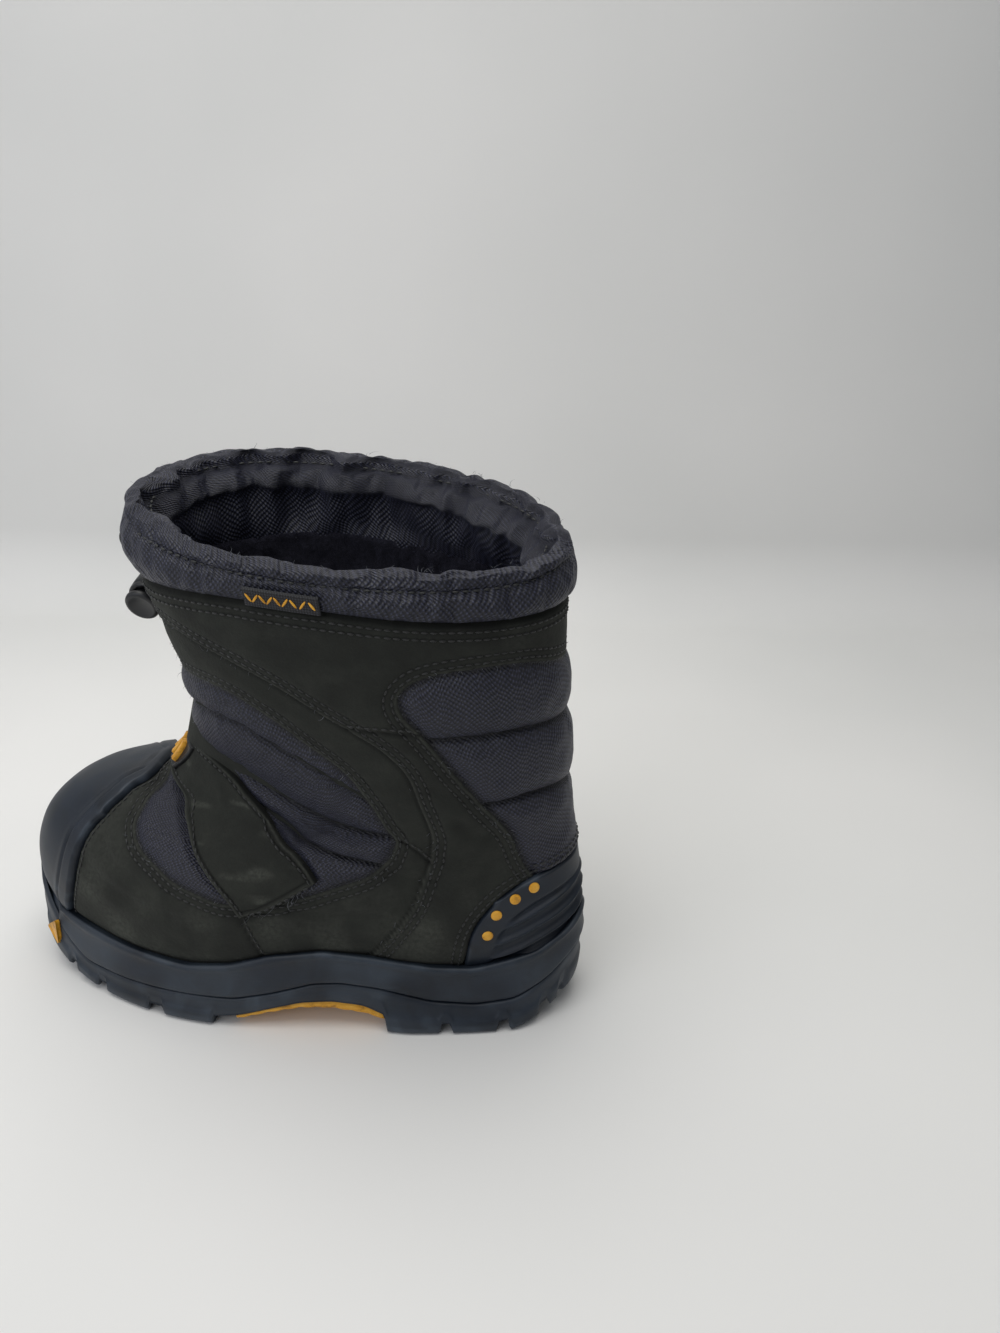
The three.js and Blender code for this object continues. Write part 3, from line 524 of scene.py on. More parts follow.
def nylonShader(tree):
    # Textured nylon: thick bulked yarn in a plain weave, coated behind. The eye sees a fine
    # chequer of threads with a dull sparkle and a blue-violet cast; the raised threads carry a painted
    # highlight and the hollows painted shade.
    place = (node(tree, "TexCoord", {}), "Object")
    waver = node(tree, "TexNoise", {"Vector": place, "Scale": perMetre(nylon["waver"]), "Detail": 2,
                                    "Roughness": 0.55})
    split = node(tree, "SeparateXYZ", {0: node(tree, "UVMap", {"uv_map": "cloth"})})
    step = 2 * math.pi / (2 * nylon["thread"] * mm)
    waves = []
    for axis in (0, 1):
        phase = node(tree, "Math", {"operation": "MULTIPLY", 0: (split, axis), 1: step})
        drift = node(tree, "Math", {"operation": "MULTIPLY_ADD", 0: waver, 1: 1.2, 2: phase})
        waves.append(node(tree, "Math", {"operation": "SINE", 0: drift}))
    weave = node(tree, "Math", {"operation": "MULTIPLY", 0: waves[0], 1: waves[1]})
    height = node(tree, "Math", {"operation": "MULTIPLY_ADD", 0: weave, 1: 0.5, 2: 0.5})
    yarn = node(tree, "TexNoise", {"Vector": place, "Scale": perMetre(nylon["yarn"]), "Detail": 2,
                                   "Roughness": 0.8})
    cloud = node(tree, "TexNoise", {"Vector": place, "Scale": perMetre(nylon["cloud"]), "Detail": 3,
                                    "Roughness": 0.55})
    # painted highlight and shade: the weave's raised threads are coloured lighter and its hollows darker,
    # with the yarn's own noise on top
    weaveHighlight = node(tree, "Math", {"operation": "MULTIPLY_ADD", 0: height, 1: 0.75, 2: -0.52})
    lit = node(tree, "Math", {"operation": "MULTIPLY_ADD", 0: yarn, 1: 0.9, 2: weaveHighlight})
    body = node(tree, "ValToRGB", {0: lit, "stops": [
        (0.12, nylon["dark"]), (0.42, nylon["body"]), (0.85, nylon["light"])]})
    dust = node(tree, "Math", {"operation": "MULTIPLY_ADD", "use_clamp": True, 0: cloud, 1: 0.4, 2: -0.12})
    dusty = node(tree, "Mix", {"data_type": "RGBA", 0: dust, 6: body, 7: nylon["dust"]})
    # painted shade: the quilting and the edges are darkened towards the crevice colour
    seam = (node(tree, "Attribute", {"attribute_name": "crevice"}), "Fac")
    colour = node(tree, "Mix", {"data_type": "RGBA", 0: seam, 6: (dusty, 2), 7: nylon["crevice"]})
    raised = node(tree, "Bump", {"Height": height, "Distance": 0.34 * mm, "Strength": 1.0})
    tooth = node(tree, "Bump", {"Height": yarn, "Distance": 0.12 * mm, "Strength": 0.6, "Normal": raised})
    return node(tree, "BsdfPrincipled", {
        "Base Color": (colour, 2), "Normal": tooth, "Roughness": nylon["rough"], "IOR": nylon["ior"],
        "Specular IOR Level": 0.4, "Sheen Weight": 0.08, "Sheen Roughness": 0.4, "Sheen Tint": nylon["tint"],
    })


def upperShader(tree):
    # Nubuck overlays sewn over nylon: the edge between them is where the signed distance is nought.
    side = (node(tree, "Attribute", {"attribute_name": "nylonSide"}), "Fac")
    share = node(tree, "Math", {"operation": "MULTIPLY_ADD", "use_clamp": True, 0: side, 1: 4.0, 2: 0.5})
    return node(tree, "MixShader", {0: share, 1: nubuckShader(tree), 2: nylonShader(tree)})


rubber = {
    "body": "#1a222d", "dark": "#11171f", "dust": "#46505b", "grain": 0.45, "cloud": 14, "rub": 5,
    "rough": 0.46, "ior": 1.52,
}


def rubberShader(tree):
    # Moulded rubber: a fine etched skin from the mould, matt, dusty in patches, with pale rub marks.
    place = (node(tree, "TexCoord", {}), "Object")
    skin = node(tree, "TexNoise", {"Vector": place, "Scale": perMetre(rubber["grain"]), "Detail": 2,
                                   "Roughness": 0.6})
    cloud = node(tree, "TexNoise", {"Vector": place, "Scale": perMetre(rubber["cloud"]), "Detail": 5,
                                    "Roughness": 0.6, "Distortion": 0.6})
    streak = node(tree, "Mapping", {0: place, "Rotation": (0.2, 0.5, 0.1), "Scale": (0.35, 1.0, 2.4)})
    rub = node(tree, "TexNoise", {"Vector": streak, "Scale": perMetre(rubber["rub"]), "Detail": 6,
                                  "Roughness": 0.72, "Distortion": 1.2})
    body = node(tree, "ValToRGB", {0: cloud, "stops": [(0.3, rubber["dark"]), (0.62, rubber["body"])]})
    marks = node(tree, "Math", {"operation": "MULTIPLY_ADD", "use_clamp": True, 0: rub, 1: 3.4, 2: -1.95})
    faint = node(tree, "Math", {"operation": "MULTIPLY", 0: marks, 1: 0.35})
    worn = (node(tree, "Attribute", {"attribute_name": "wear"}), "Fac")
    both = node(tree, "Math", {"operation": "ADD", "use_clamp": True, 0: faint, 1: worn})
    patchy = node(tree, "Math", {"operation": "MULTIPLY_ADD", 0: cloud, 1: 1.2, 2: 0.1})
    share = node(tree, "Math", {"operation": "MULTIPLY", 0: both, 1: patchy})
    colour = node(tree, "Mix", {"data_type": "RGBA", 0: share, 6: body, 7: rubber["dust"]})
    gloss = node(tree, "Math", {"operation": "MULTIPLY_ADD", 0: cloud, 1: 0.22, 2: rubber["rough"] - 0.08})
    return node(tree, "BsdfPrincipled", {
        "Base Color": (colour, 2), "Roughness": gloss, "IOR": rubber["ior"], "Specular IOR Level": 0.36,
        "Normal": node(tree, "Bump", {"Height": skin, "Distance": 0.08 * mm, "Strength": 0.55}),
    })


amber = {
    "body": "#d99a1c", "dark": "#8a5a12", "pale": "#f0bb4a", "grime": 4, "grain": 0.5, "rough": 0.5,
    "ior": 1.52,
}


def amberShader(tree):
    # Coloured rubber, moulded: flat amber with grime in its pores.
    place = (node(tree, "TexCoord", {}), "Object")
    grime = node(tree, "TexNoise", {"Vector": place, "Scale": perMetre(amber["grime"]), "Detail": 5,
                                    "Roughness": 0.65})
    skin = node(tree, "TexNoise", {"Vector": place, "Scale": perMetre(amber["grain"]), "Detail": 2,
                                   "Roughness": 0.55})
    body = node(tree, "ValToRGB", {0: grime, "stops": [
        (0.28, amber["dark"]), (0.45, amber["body"]), (0.8, amber["pale"])]})
    return node(tree, "BsdfPrincipled", {
        "Base Color": body, "Roughness": amber["rough"], "IOR": amber["ior"],
        "Normal": node(tree, "Bump", {"Height": skin, "Distance": 0.1 * mm, "Strength": 0.5}),
    })


fleece = {
    "dark": "#08080b", "body": "#14141a", "light": "#26262e", "tint": "#8080a0", "tuft": 1.8, "fibre": 0.5,
}


def fleeceShader(tree):
    # Knitted pile: short fibres in small tufts that swallow the light.
    place = (node(tree, "TexCoord", {}), "Object")
    tuft = node(tree, "TexNoise", {"Vector": place, "Scale": perMetre(fleece["tuft"]), "Detail": 4,
                                   "Roughness": 0.75, "Distortion": 0.8})
    fibre = node(tree, "TexNoise", {"Vector": place, "Scale": perMetre(fleece["fibre"]), "Detail": 3,
                                    "Roughness": 0.8})
    body = node(tree, "ValToRGB", {0: tuft, "stops": [
        (0.35, fleece["dark"]), (0.55, fleece["body"]), (0.75, fleece["light"])]})
    deep = node(tree, "Bump", {"Height": tuft, "Distance": 1.4 * mm, "Strength": 1.0})
    fine = node(tree, "Bump", {"Height": fibre, "Distance": 0.4 * mm, "Strength": 0.8, "Normal": deep})
    return node(tree, "BsdfPrincipled", {
        "Base Color": body, "Normal": fine, "Roughness": 0.97, "Specular IOR Level": 0.15,
        "Sheen Weight": 0.25, "Sheen Roughness": 0.6, "Sheen Tint": fleece["tint"],
    })


thread = {"dark": "#060707", "body": "#101312", "light": "#2b302c", "twist": 0.35}


def threadShader(tree):
    # Bonded polyester thread: tight twist, a little lighter than the hide where it catches the light.
    place = (node(tree, "TexCoord", {}), "Object")
    twist = node(tree, "TexNoise", {"Vector": place, "Scale": perMetre(thread["twist"]), "Detail": 2,
                                    "Roughness": 0.7})
    body = node(tree, "ValToRGB", {0: twist, "stops": [
        (0.3, thread["dark"]), (0.6, thread["body"]), (0.85, thread["light"])]})
    return node(tree, "BsdfPrincipled", {
        "Base Color": body, "Roughness": 0.55, "IOR": 1.55, "Sheen Weight": 0.1,
        "Normal": node(tree, "Bump", {"Height": twist, "Distance": 0.1 * mm, "Strength": 0.8}),
    })


acetal = {"dark": "#0e0f11", "body": "#1d1f22", "spark": 0.3, "cloud": 6}


def acetalShader(tree):
    # Acetal, moulded with a fine spark texture: near black with a soft highlight.
    place = (node(tree, "TexCoord", {}), "Object")
    spark = node(tree, "TexNoise", {"Vector": place, "Scale": perMetre(acetal["spark"]), "Detail": 2,
                                    "Roughness": 0.55})
    cloud = node(tree, "TexNoise", {"Vector": place, "Scale": perMetre(acetal["cloud"]), "Detail": 4,
                                    "Roughness": 0.55})
    body = node(tree, "ValToRGB", {0: cloud, "stops": [(0.35, acetal["dark"]), (0.7, acetal["body"])]})
    gloss = node(tree, "Math", {"operation": "MULTIPLY_ADD", 0: cloud, 1: 0.3, 2: 0.25})
    return node(tree, "BsdfPrincipled", {
        "Base Color": body, "Roughness": gloss, "IOR": 1.48,
        "Normal": node(tree, "Bump", {"Height": spark, "Distance": 0.05 * mm, "Strength": 0.5}),
    })


braid = {"dark": "#09090b", "body": "#1c1c20", "light": "#33343a", "yarn": 0.9}


def braidShader(tree):
    # Braided elastic cord: two sets of yarns cross at a slant, drawn 0.9 mm apart so that they show.
    split = node(tree, "SeparateXYZ", {0: node(tree, "UVMap", {"uv_map": "cloth"})})
    step = 2 * math.pi / (2 * braid["yarn"] * mm)
    waves = []
    for slant in ("ADD", "SUBTRACT"):
        way = node(tree, "Math", {"operation": slant, 0: (split, 0), 1: (split, 1)})
        phase = node(tree, "Math", {"operation": "MULTIPLY", 0: way, 1: step})
        waves.append(node(tree, "Math", {"operation": "SINE", 0: phase}))
    crossed = node(tree, "Math", {"operation": "MULTIPLY", 0: waves[0], 1: waves[1]})
    height = node(tree, "Math", {"operation": "MULTIPLY_ADD", 0: crossed, 1: 0.5, 2: 0.5})
    body = node(tree, "ValToRGB", {0: height, "stops": [
        (0.15, braid["dark"]), (0.6, braid["body"]), (0.95, braid["light"])]})
    return node(tree, "BsdfPrincipled", {
        "Base Color": body, "Roughness": 0.7, "IOR": 1.5,
        "Normal": node(tree, "Bump", {"Height": height, "Distance": 0.25 * mm, "Strength": 0.9}),
    })


felt = {"dark": "#0d0d10", "body": "#2a2a2f", "tuft": 0.9}


def feltShader(tree):
    # Needled felt on the footbed: flat, dull, slightly mottled.
    place = (node(tree, "TexCoord", {}), "Object")
    tuft = node(tree, "TexNoise", {"Vector": place, "Scale": perMetre(felt["tuft"]), "Detail": 4,
                                   "Roughness": 0.8})
    body = node(tree, "ValToRGB", {0: tuft, "stops": [(0.3, felt["dark"]), (0.8, felt["body"])]})
    return node(tree, "BsdfPrincipled", {
        "Base Color": body, "Roughness": 0.95, "Specular IOR Level": 0.2,
        "Normal": node(tree, "Bump", {"Height": tuft, "Distance": 0.3 * mm, "Strength": 0.8}),
    })


lint = {"dark": "#44474d", "body": "#8d9098", "mottle": 6}


def lintShader(tree):
    # Loose fibres and lint: pale, thin, catching the light.
    place = (node(tree, "TexCoord", {}), "Object")
    mottle = node(tree, "TexNoise", {"Vector": place, "Scale": perMetre(lint["mottle"]), "Detail": 2,
                                     "Roughness": 0.55})
    body = node(tree, "ValToRGB", {0: mottle, "stops": [(0.3, lint["dark"]), (0.8, lint["body"])]})
    return node(tree, "BsdfPrincipled", {"Base Color": body, "Roughness": 0.8})


paper = {"low": "#dfdfdd", "high": "#e8e7e5", "cloud": 260}


def paperShader(tree):
    # Seamless studio paper: flat and pale with faint wide clouds.
    place = (node(tree, "TexCoord", {}), "Object")
    cloud = node(tree, "TexNoise", {"Vector": place, "Scale": perMetre(paper["cloud"]), "Detail": 2,
                                    "Roughness": 0.4})
    body = node(tree, "ValToRGB", {0: cloud, "stops": [(0.3, paper["low"]), (0.7, paper["high"])]})
    return node(tree, "BsdfPrincipled", {"Base Color": body, "Roughness": 0.75, "Specular IOR Level": 0.25})


def makeMaterial(name, shaderOf):
    # an empty node tree whose surface is the shader that the given function builds
    made = bpy.data.materials.new(name)
    made.use_nodes = True
    made.node_tree.nodes.clear()
    node(made.node_tree, "OutputMaterial", {"Surface": shaderOf(made.node_tree)})
    return made


upperMaterial = makeMaterial("nubuckOverNylonSewn", upperShader)
nubuckMaterial = makeMaterial("nubuckBuffed", nubuckShader)
nylonMaterial = makeMaterial("nylonPlainWeave", nylonShader)
rubberMaterial = makeMaterial("rubberMoulded", rubberShader)
amberMaterial = makeMaterial("amberRubberMoulded", amberShader)
fleeceMaterial = makeMaterial("fleeceKnittedPile", fleeceShader)
threadMaterial = makeMaterial("threadBonded", threadShader)
plasticMaterial = makeMaterial("acetalMoulded", acetalShader)
cordMaterial = makeMaterial("cordBraided", braidShader)
feltMaterial = makeMaterial("feltNeedled", feltShader)
lintMaterial = makeMaterial("lintLoose", lintShader)

print("stage: drawcord")

drawcord = {"diameter": 2.5, "spread": 1.75, "fromEnd": 4.4, "knot": 3.2}
lock = {
    "centre": np.array([-54.5, 4.0, 161.0]), "axis": unit(np.array([0.0, -0.92, -0.39])),
    "length": 15, "radius": 7, "pocket": 5.2, "pocketDepth": 8.6, "stem": 4.9, "stemDepth": 5,
    "travel": 2, "stand": 3.2,
}
lockHole = lock["centre"] + lock["axis"] * (drawcord["fromEnd"] - lock["length"] / 2)
lockThrough = np.cross([1, 0, 0], lock["axis"])


def lockPoint(side, along):
    # a point of the lock's hole: off its middle along the lock's axis, then along the hole
    return lockHole - lock["axis"] * side * drawcord["spread"] + lockThrough * along


def cordRoute(side):
    # out of the tab, bowed forwards, down and through the lock's hole
    return np.array([
        (-56.3, side * 2.6, 184.5),
        (-58.6, side * 2.5, 184.2),
        (-61.4, 0.6 + side * 2.2, 181.4),
        (-61.2, 1.8 + side * 2, 177),
        (-57.8, 2.8 + side * 1.8, 173),
        lockPoint(side, -9.6),
        lockPoint(side, -5),
        lockPoint(side, 0),
        lockPoint(side, lock["radius"]),
    ])


def throughPoints(points, perSpan):
    # a cubic through every point, each span's end slopes set by its neighbours' distances
    p = np.asarray(points, float)
    p = np.vstack([2 * p[0] - p[1], p, 2 * p[-1] - p[-2]])
    knots = np.concatenate([[0], np.cumsum(np.sqrt(np.linalg.norm(np.diff(p, axis=0), axis=1)))])
    made = []
    for k in range(1, len(p) - 2):
        t0, t1, t2, t3 = knots[k - 1:k + 3]
        t = np.linspace(t1, t2, perSpan, endpoint=False)[:, None]
        a1 = (t1 - t) / (t1 - t0) * p[k - 1] + (t - t0) / (t1 - t0) * p[k]
        a2 = (t2 - t) / (t2 - t1) * p[k] + (t - t1) / (t2 - t1) * p[k + 1]
        a3 = (t3 - t) / (t3 - t2) * p[k + 1] + (t - t2) / (t3 - t2) * p[k + 2]
        b1 = (t2 - t) / (t2 - t0) * a1 + (t - t0) / (t2 - t0) * a2
        b2 = (t3 - t) / (t3 - t1) * a2 + (t - t1) / (t3 - t1) * a3
        made.append((t2 - t) / (t2 - t1) * b1 + (t - t1) / (t2 - t1) * b2)
    return np.vstack(made + [p[-2:-1]])


def tubePoints(path, radius, sides):
    # rings square to the path; each ring's first spoke is the last one's, levelled to the new direction
    tangent = unit(np.gradient(path, axis=0))
    spoke = np.zeros_like(path)
    spoke[0] = unit(np.cross(tangent[0], [0.31, 0.9, 0.2]))
    for k in range(1, len(path)):
        spoke[k] = unit(spoke[k - 1] - tangent[k] * spoke[k - 1].dot(tangent[k]))
    other = np.cross(tangent, spoke)
    angle = fullTurn(sides)
    radius = np.broadcast_to(radius, len(path))[:, None, None]
    ring = spoke[:, None] * np.cos(angle)[None, :, None] + other[:, None] * np.sin(angle)[None, :, None]
    return path[:, None] + radius * ring


def tubeMesh(name, path, radius, sides, material, **more):
    # rings along the path, its two ends closed by a point
    rings = tubePoints(path, radius, sides)
    n = len(path)
    quads, corners = gridQuads(n, sides, False, True)
    i = np.arange(sides)
    k = (i + 1) % sides
    first = np.stack([k, i, np.full(sides, n * sides)], 1)
    lastRow = (n - 1) * sides
    final = np.stack([lastRow + i, lastRow + k, np.full(sides, n * sides + 1)], 1)
    arc = travelled(path)
    girth = np.arange(sides + 1) * 2 * math.pi * np.mean(radius) / sides
    uv = [np.stack([np.stack([arc[a], girth[b]], -1) for a, b in corners], 1),
          np.zeros((sides, 3, 2)), np.zeros((sides, 3, 2))]
    points = np.concatenate([rings.reshape(-1, 3), path[:1], path[-1:]])
    return putMesh(name, points, [quads, first, final], material, uv=uv, **more)


def makeCords():
    # a round tube along each end's route
    made = []
    for side, name, stands in ((-1, "drawcordOuter", "cord_outer"), (1, "drawcordInner", "cord_inner")):
        path = throughPoints(cordRoute(side), 5)
        cord = tubeMesh(name, path, drawcord["diameter"] / 2, 16, cordMaterial, slot="cord")
        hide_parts(stands)
        made.append((cord, path))
    return made


def lockFrame(points):
    # local z runs along the lock's axis towards its button
    return lock["centre"] + points @ np.stack([np.array([1.0, 0, 0]), lockThrough, lock["axis"]])


def makeLockBarrel():
    # a profile turned about the lock's axis: domed end, groove near the mouth, pocket for the button
    end, mouth, r, hole = -lock["length"] / 2, lock["length"] / 2, lock["radius"], lock["pocket"]
    outline = [(0, end), (r - 2.4, end), (r - 1.5, end + 0.3), (r - 0.8, end + 1), (r - 0.5, end + 2.4),
               (r, mouth - 4), (r, mouth - 3), (r - 0.35, mouth - 2.6), (r - 0.35, mouth - 2.1),
               (r, mouth - 1.7), (r - 0.1, mouth - 0.5), (r - 0.5, mouth), (hole + 0.3, mouth),
               (hole, mouth - 0.3), (hole, mouth - lock["pocketDepth"]), (0, mouth - lock["pocketDepth"])]
    points, faces = lathePoints(outline, 56)
    barrel = putMesh("lockBarrel", lockFrame(points), faces, plasticMaterial, slot="hard_plastic")
    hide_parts("lock_barrel")
    return barrel


def makeLockButton():
    # a stem in the barrel's pocket and a dished head that stands clear by its travel
    mouth, stem = lock["length"] / 2, lock["stem"]
    foot = mouth - lock["stemDepth"]
    top = mouth + lock["stand"] + 1.7
    low = mouth + lock["travel"] + 0.3
    outline = [(0, foot), (stem - 0.4, foot), (stem, foot + 0.4), (stem, low), (6.1, low), (6.5, low + 0.35),
               (6.6, low + 0.9), (6.45, top - 0.9), (6.0, top - 0.35), (5.3, top - 0.05), (4.6, top - 0.1),
               (4.2, top - 0.35), (0, top - 0.45)]
    points, faces = lathePoints(outline, 56)
    button = putMesh("lockButton", lockFrame(points), faces, plasticMaterial, body="button",
                     slot="hard_plastic")
    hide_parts("lock_button")
    return button


def makeKnot():
    # an overhand knot drawn tight: a short closed trefoil, flattened
    centre = lockPoint(0, lock["radius"] + 0.3 + drawcord["knot"] + 0.6)
    t = fullTurn(72)
    wave = [np.sin(t) + 1.5 * np.sin(2 * t), np.cos(t) - 1.5 * np.cos(2 * t), -1.6 * np.sin(3 * t)]
    wave = np.stack(wave, 1)
    path = wave / np.abs(wave).max(0) * np.array([1.9, 2.3, 1.7]) + centre
    rings = tubePoints(np.vstack([path, path[:1]]), 1.2, 12)[:-1]
    knot = sweepMesh("drawcordKnot", rings, cordMaterial, slot="cord")
    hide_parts("cord_knot")
    return knot


cords = makeCords()
lockBarrel, lockButton, drawcordKnot = makeLockBarrel(), makeLockButton(), makeKnot()

print("stage: seams")

outlines = {
    # nylon in front, from the centre along its top, round the side and back along the vamp
    "front": [(180, 139), (152, 139), (124, 139), (111, 132), (101, 122), (92, 112), (86, 100), (79, 89),
              (73, 82.5), (70.5, 76), (72.5, 69), (78, 64), (86, 58), (94, 54.5), (99, 57), (104, 60),
              (109, 64), (116, 68), (124, 73), (135, 78.3), (150, 83), (164, 86), (180, 87)],
    # nylon behind, from the centre back along its top, round and down to the counter
    "back": [(0, 148.5), (16, 151), (32, 154), (51, 154.5), (64, 152.5), (70, 149), (73, 144), (72.5, 138),
             (68, 130), (62, 118), (52, 102), (39, 85), (29, 66), (20, 60)],
    # lower edge of the leather band, running on as the outer arc down to the sole
    "band": [(180, 161), (152, 160.5), (136, 159), (128, 157), (114, 152), (104, 146), (94, 137), (88, 131),
             (80, 123), (74, 113), (70, 98), (64, 84), (60.5, 75), (62, 61), (68, 43), (74, 29), (76, 22)],
    "joint": [(88, 131.5), (79, 131.5), (69, 130.5)],
    "cross": [(72, 83.5), (66, 80), (60.5, 75)],
    "forefoot": [(92, 49), (91, 40), (90, 30), (89.5, 24)],
    "cap": [(143, 20), (138, 30), (134, 41), (132, 51), (132.5, 62), (136, 72), (142, 76.5), (148, 79),
            (160, 83), (180, 85)],
    "counter": [(0, 70), (15, 69), (29, 66), (36, 63), (43, 57), (48, 49), (51, 37), (50, 20)],
}
quilting = {
    "front": [[(180, 123.5), (160, 124), (126, 125), (108, 116), (94, 106), (83, 97)],
              [(180, 108), (160, 107), (131, 103), (106, 93.5), (88, 87), (75, 84.5)],
              [(132, 96), (121, 91.5), (97, 83), (82, 76.5), (71, 73)]],
    "back": [[(0, 127), (7, 127), (35, 129), (51, 128.5), (66, 128)],
             [(0, 99), (16, 101), (32, 102), (50, 100)]],
    "vamp": [[(180, 86.5), (150, 82), (131, 73.5), (121, 66), (110, 60)]],
}
strapEdges = {
    "front": [(92, 50), (93.5, 55.5), (95.5, 60), (98.5, 65), (102.5, 69.5), (108, 74), (118, 78.5),
              (136, 83.5), (165, 87), (195, 86.5), (220, 80.5), (241, 73.5)],
    "rear": [(82, 66), (85, 71.8), (89.5, 76.5), (95, 80), (101, 82.6), (109, 86.8), (119, 92.6),
             (137, 101.5), (166, 105.5), (194, 105.5), (218, 98.5), (238, 90)],
}
anchorEdges = {
    "front": [(250, 64), (253, 57), (256, 50)],
    "rear": [(252, 77), (260, 70), (268, 60)],
}


def across(points):
    # the same line on the other side of the foot
    return [(360 - turn, height) for turn, height in points]


def seamLine(points, spacing=0.5):
    # the chart's points joined by a smooth curve, then read again every half millimetre on the last
    chart = throughPoints(np.asarray(points, float), 14)
    place, _ = onLast(chart[:, 0], chart[:, 1])
    arc = travelled(place)
    even = np.arange(0, arc[-1], spacing)
    chart = np.stack([np.interp(even, arc, chart[:, k]) for k in (0, 1)], 1)
    place, normal = onLast(chart[:, 0], chart[:, 1])
    return {"chart": chart, "place": place, "normal": normal, "arc": even,
            "tangent": unit(np.gradient(place, axis=0))}


def nearLine(points, line, reach=16.0):
    # distance to a line: the step to its nearest reading, less the part that runs along it.
    # Also how far along the line that is. Points further than reach keep a distance of 99.
    distance, along = np.full(len(points), 99.0), np.zeros(len(points))
    low, high = line["place"].min(0) - reach, line["place"].max(0) + reach
    near = np.nonzero(((points > low) & (points < high)).all(1))[0]
    for some in np.array_split(near, max(1, len(near) // 3000)):
        if not len(some):
            continue
        p = points[some]
        square = (p**2).sum(1)[:, None] + (line["place"]**2).sum(1)[None] - 2 * p @ line["place"].T
        k = square.argmin(1)
        step = p - line["place"][k]
        part = np.clip((step * line["tangent"][k]).sum(1), -0.5, 0.5)
        distance[some] = np.linalg.norm(step - part[:, None] * line["tangent"][k], axis=1)
        along[some] = line["arc"][k] + part
    return distance, along


def inside(turn, height, outline):
    # counts the outline's edges passed on the way out of each point
    x, y = np.asarray(outline, float).T
    count = np.zeros(np.shape(turn), bool)
    for x0, y0, x1, y1 in zip(x, y, np.roll(x, -1), np.roll(y, -1)):
        if y0 != y1:
            hit = ((y0 > height) != (y1 > height)) & (turn < (x1 - x0) * (height - y0) / (y1 - y0) + x0)
            count ^= hit
    return count


lines = {name: [seamLine(points), seamLine(across(points))] for name, points in outlines.items()}
quiltLines = {name: [seamLine(p) for points in rows for p in (points, across(points))]
              for name, rows in quilting.items()}
# corners beyond the centre lines that close an outline on the chart
closing = {
    "front": [(200, 87), (200, 139)], "back": [(-20, 60), (-20, 148.5)],
    "band": [(-20, 22), (-20, 230), (200, 230), (200, 161)],
    "cap": [(200, 85), (200, 10), (143, 10)], "counter": [(-20, 10), (-20, 70)],
}
closedOutline = {name: throughPoints(np.asarray(outlines[name], float), 10).tolist() + corners
                 for name, corners in closing.items()}
strapLoop = strapEdges["front"] + strapEdges["rear"][::-1] + strapEdges["front"][:1]
anchorLoop = anchorEdges["front"] + anchorEdges["rear"][::-1] + anchorEdges["front"][:1]
strapLines = [seamLine(strapEdges["front"]), seamLine(strapEdges["rear"]),
              seamLine([strapEdges["front"][0], strapEdges["rear"][0]])]
anchorLines = [seamLine(anchorEdges["front"]), seamLine(anchorEdges["rear"])]

relief = {
    "leather": 1.0, "band": 0.7, "puff": 3.1, "sink": 1.0, "quiltHalf": 9.0, "pucker": 0.8,
    "roll": 0.5, "join": 0.7, "dip": 0.4, "pressed": 0.55, "covered": 0.2,
}
stitch = {"pitch": 2.9, "length": 2.3, "thick": 0.85, "rows": (2.0, 4.6)}
# creases worn into the leather: (points, depth, half width)
creases = [
    ([(86, 53), (79, 51.5), (70, 52.5)], 0.8, 1.7),
    ([(84, 48.5), (77, 48), (68, 50)], 0.6, 1.4),
    ([(68, 70), (62, 67), (56, 68)], 0.6, 2.2),
    ([(58, 93), (53, 88), (48, 87)], 0.7, 2.4),
    ([(66, 108), (60, 104), (54, 104)], 0.6, 2.6),
    ([(127, 66), (118, 59), (108, 54)], 0.5, 2.2),
    ([(128, 56), (116, 50), (104, 46)], 0.6, 2.6),
    ([(296, 106), (302, 102), (310, 102)], 0.8, 2.6),
    ([(284, 60), (292, 56), (302, 57)], 0.8, 2.2),
    ([(232, 62), (243, 55), (252, 50)], 0.6, 2.4),
    ([(100, 163), (84, 160), (66, 162)], 0.5, 4.0),
    ([(262, 163), (280, 158), (296, 161)], 0.5, 4.0),
]
creaseLines = [(seamLine(points), depth, wide) for points, depth, wide in creases]


def edgeDistance(points, rows):
    # the least distance to any of the lines, and how far along that line it is
    distance = np.full(len(points), 99.0)
    along = np.zeros(len(points))
    for line in rows:
        d, a = nearLine(points, line)
        closer = d < distance
        distance, along = np.where(closer, d, distance), np.where(closer, a, along)
    return distance, along


def foldOver(turn):
    # the inner side's turns laid over the outer side's: 0 at the heel, 180 at the toe
    return 180 - np.abs(180 - np.mod(turn, 360))


def signedSide(name, turn, points):
    # distance to an outline, more than nought inside it
    edge, _ = edgeDistance(points, lines[name])
    return np.where(inside(foldOver(turn), points[:, 2], closedOutline[name]), edge, -edge)


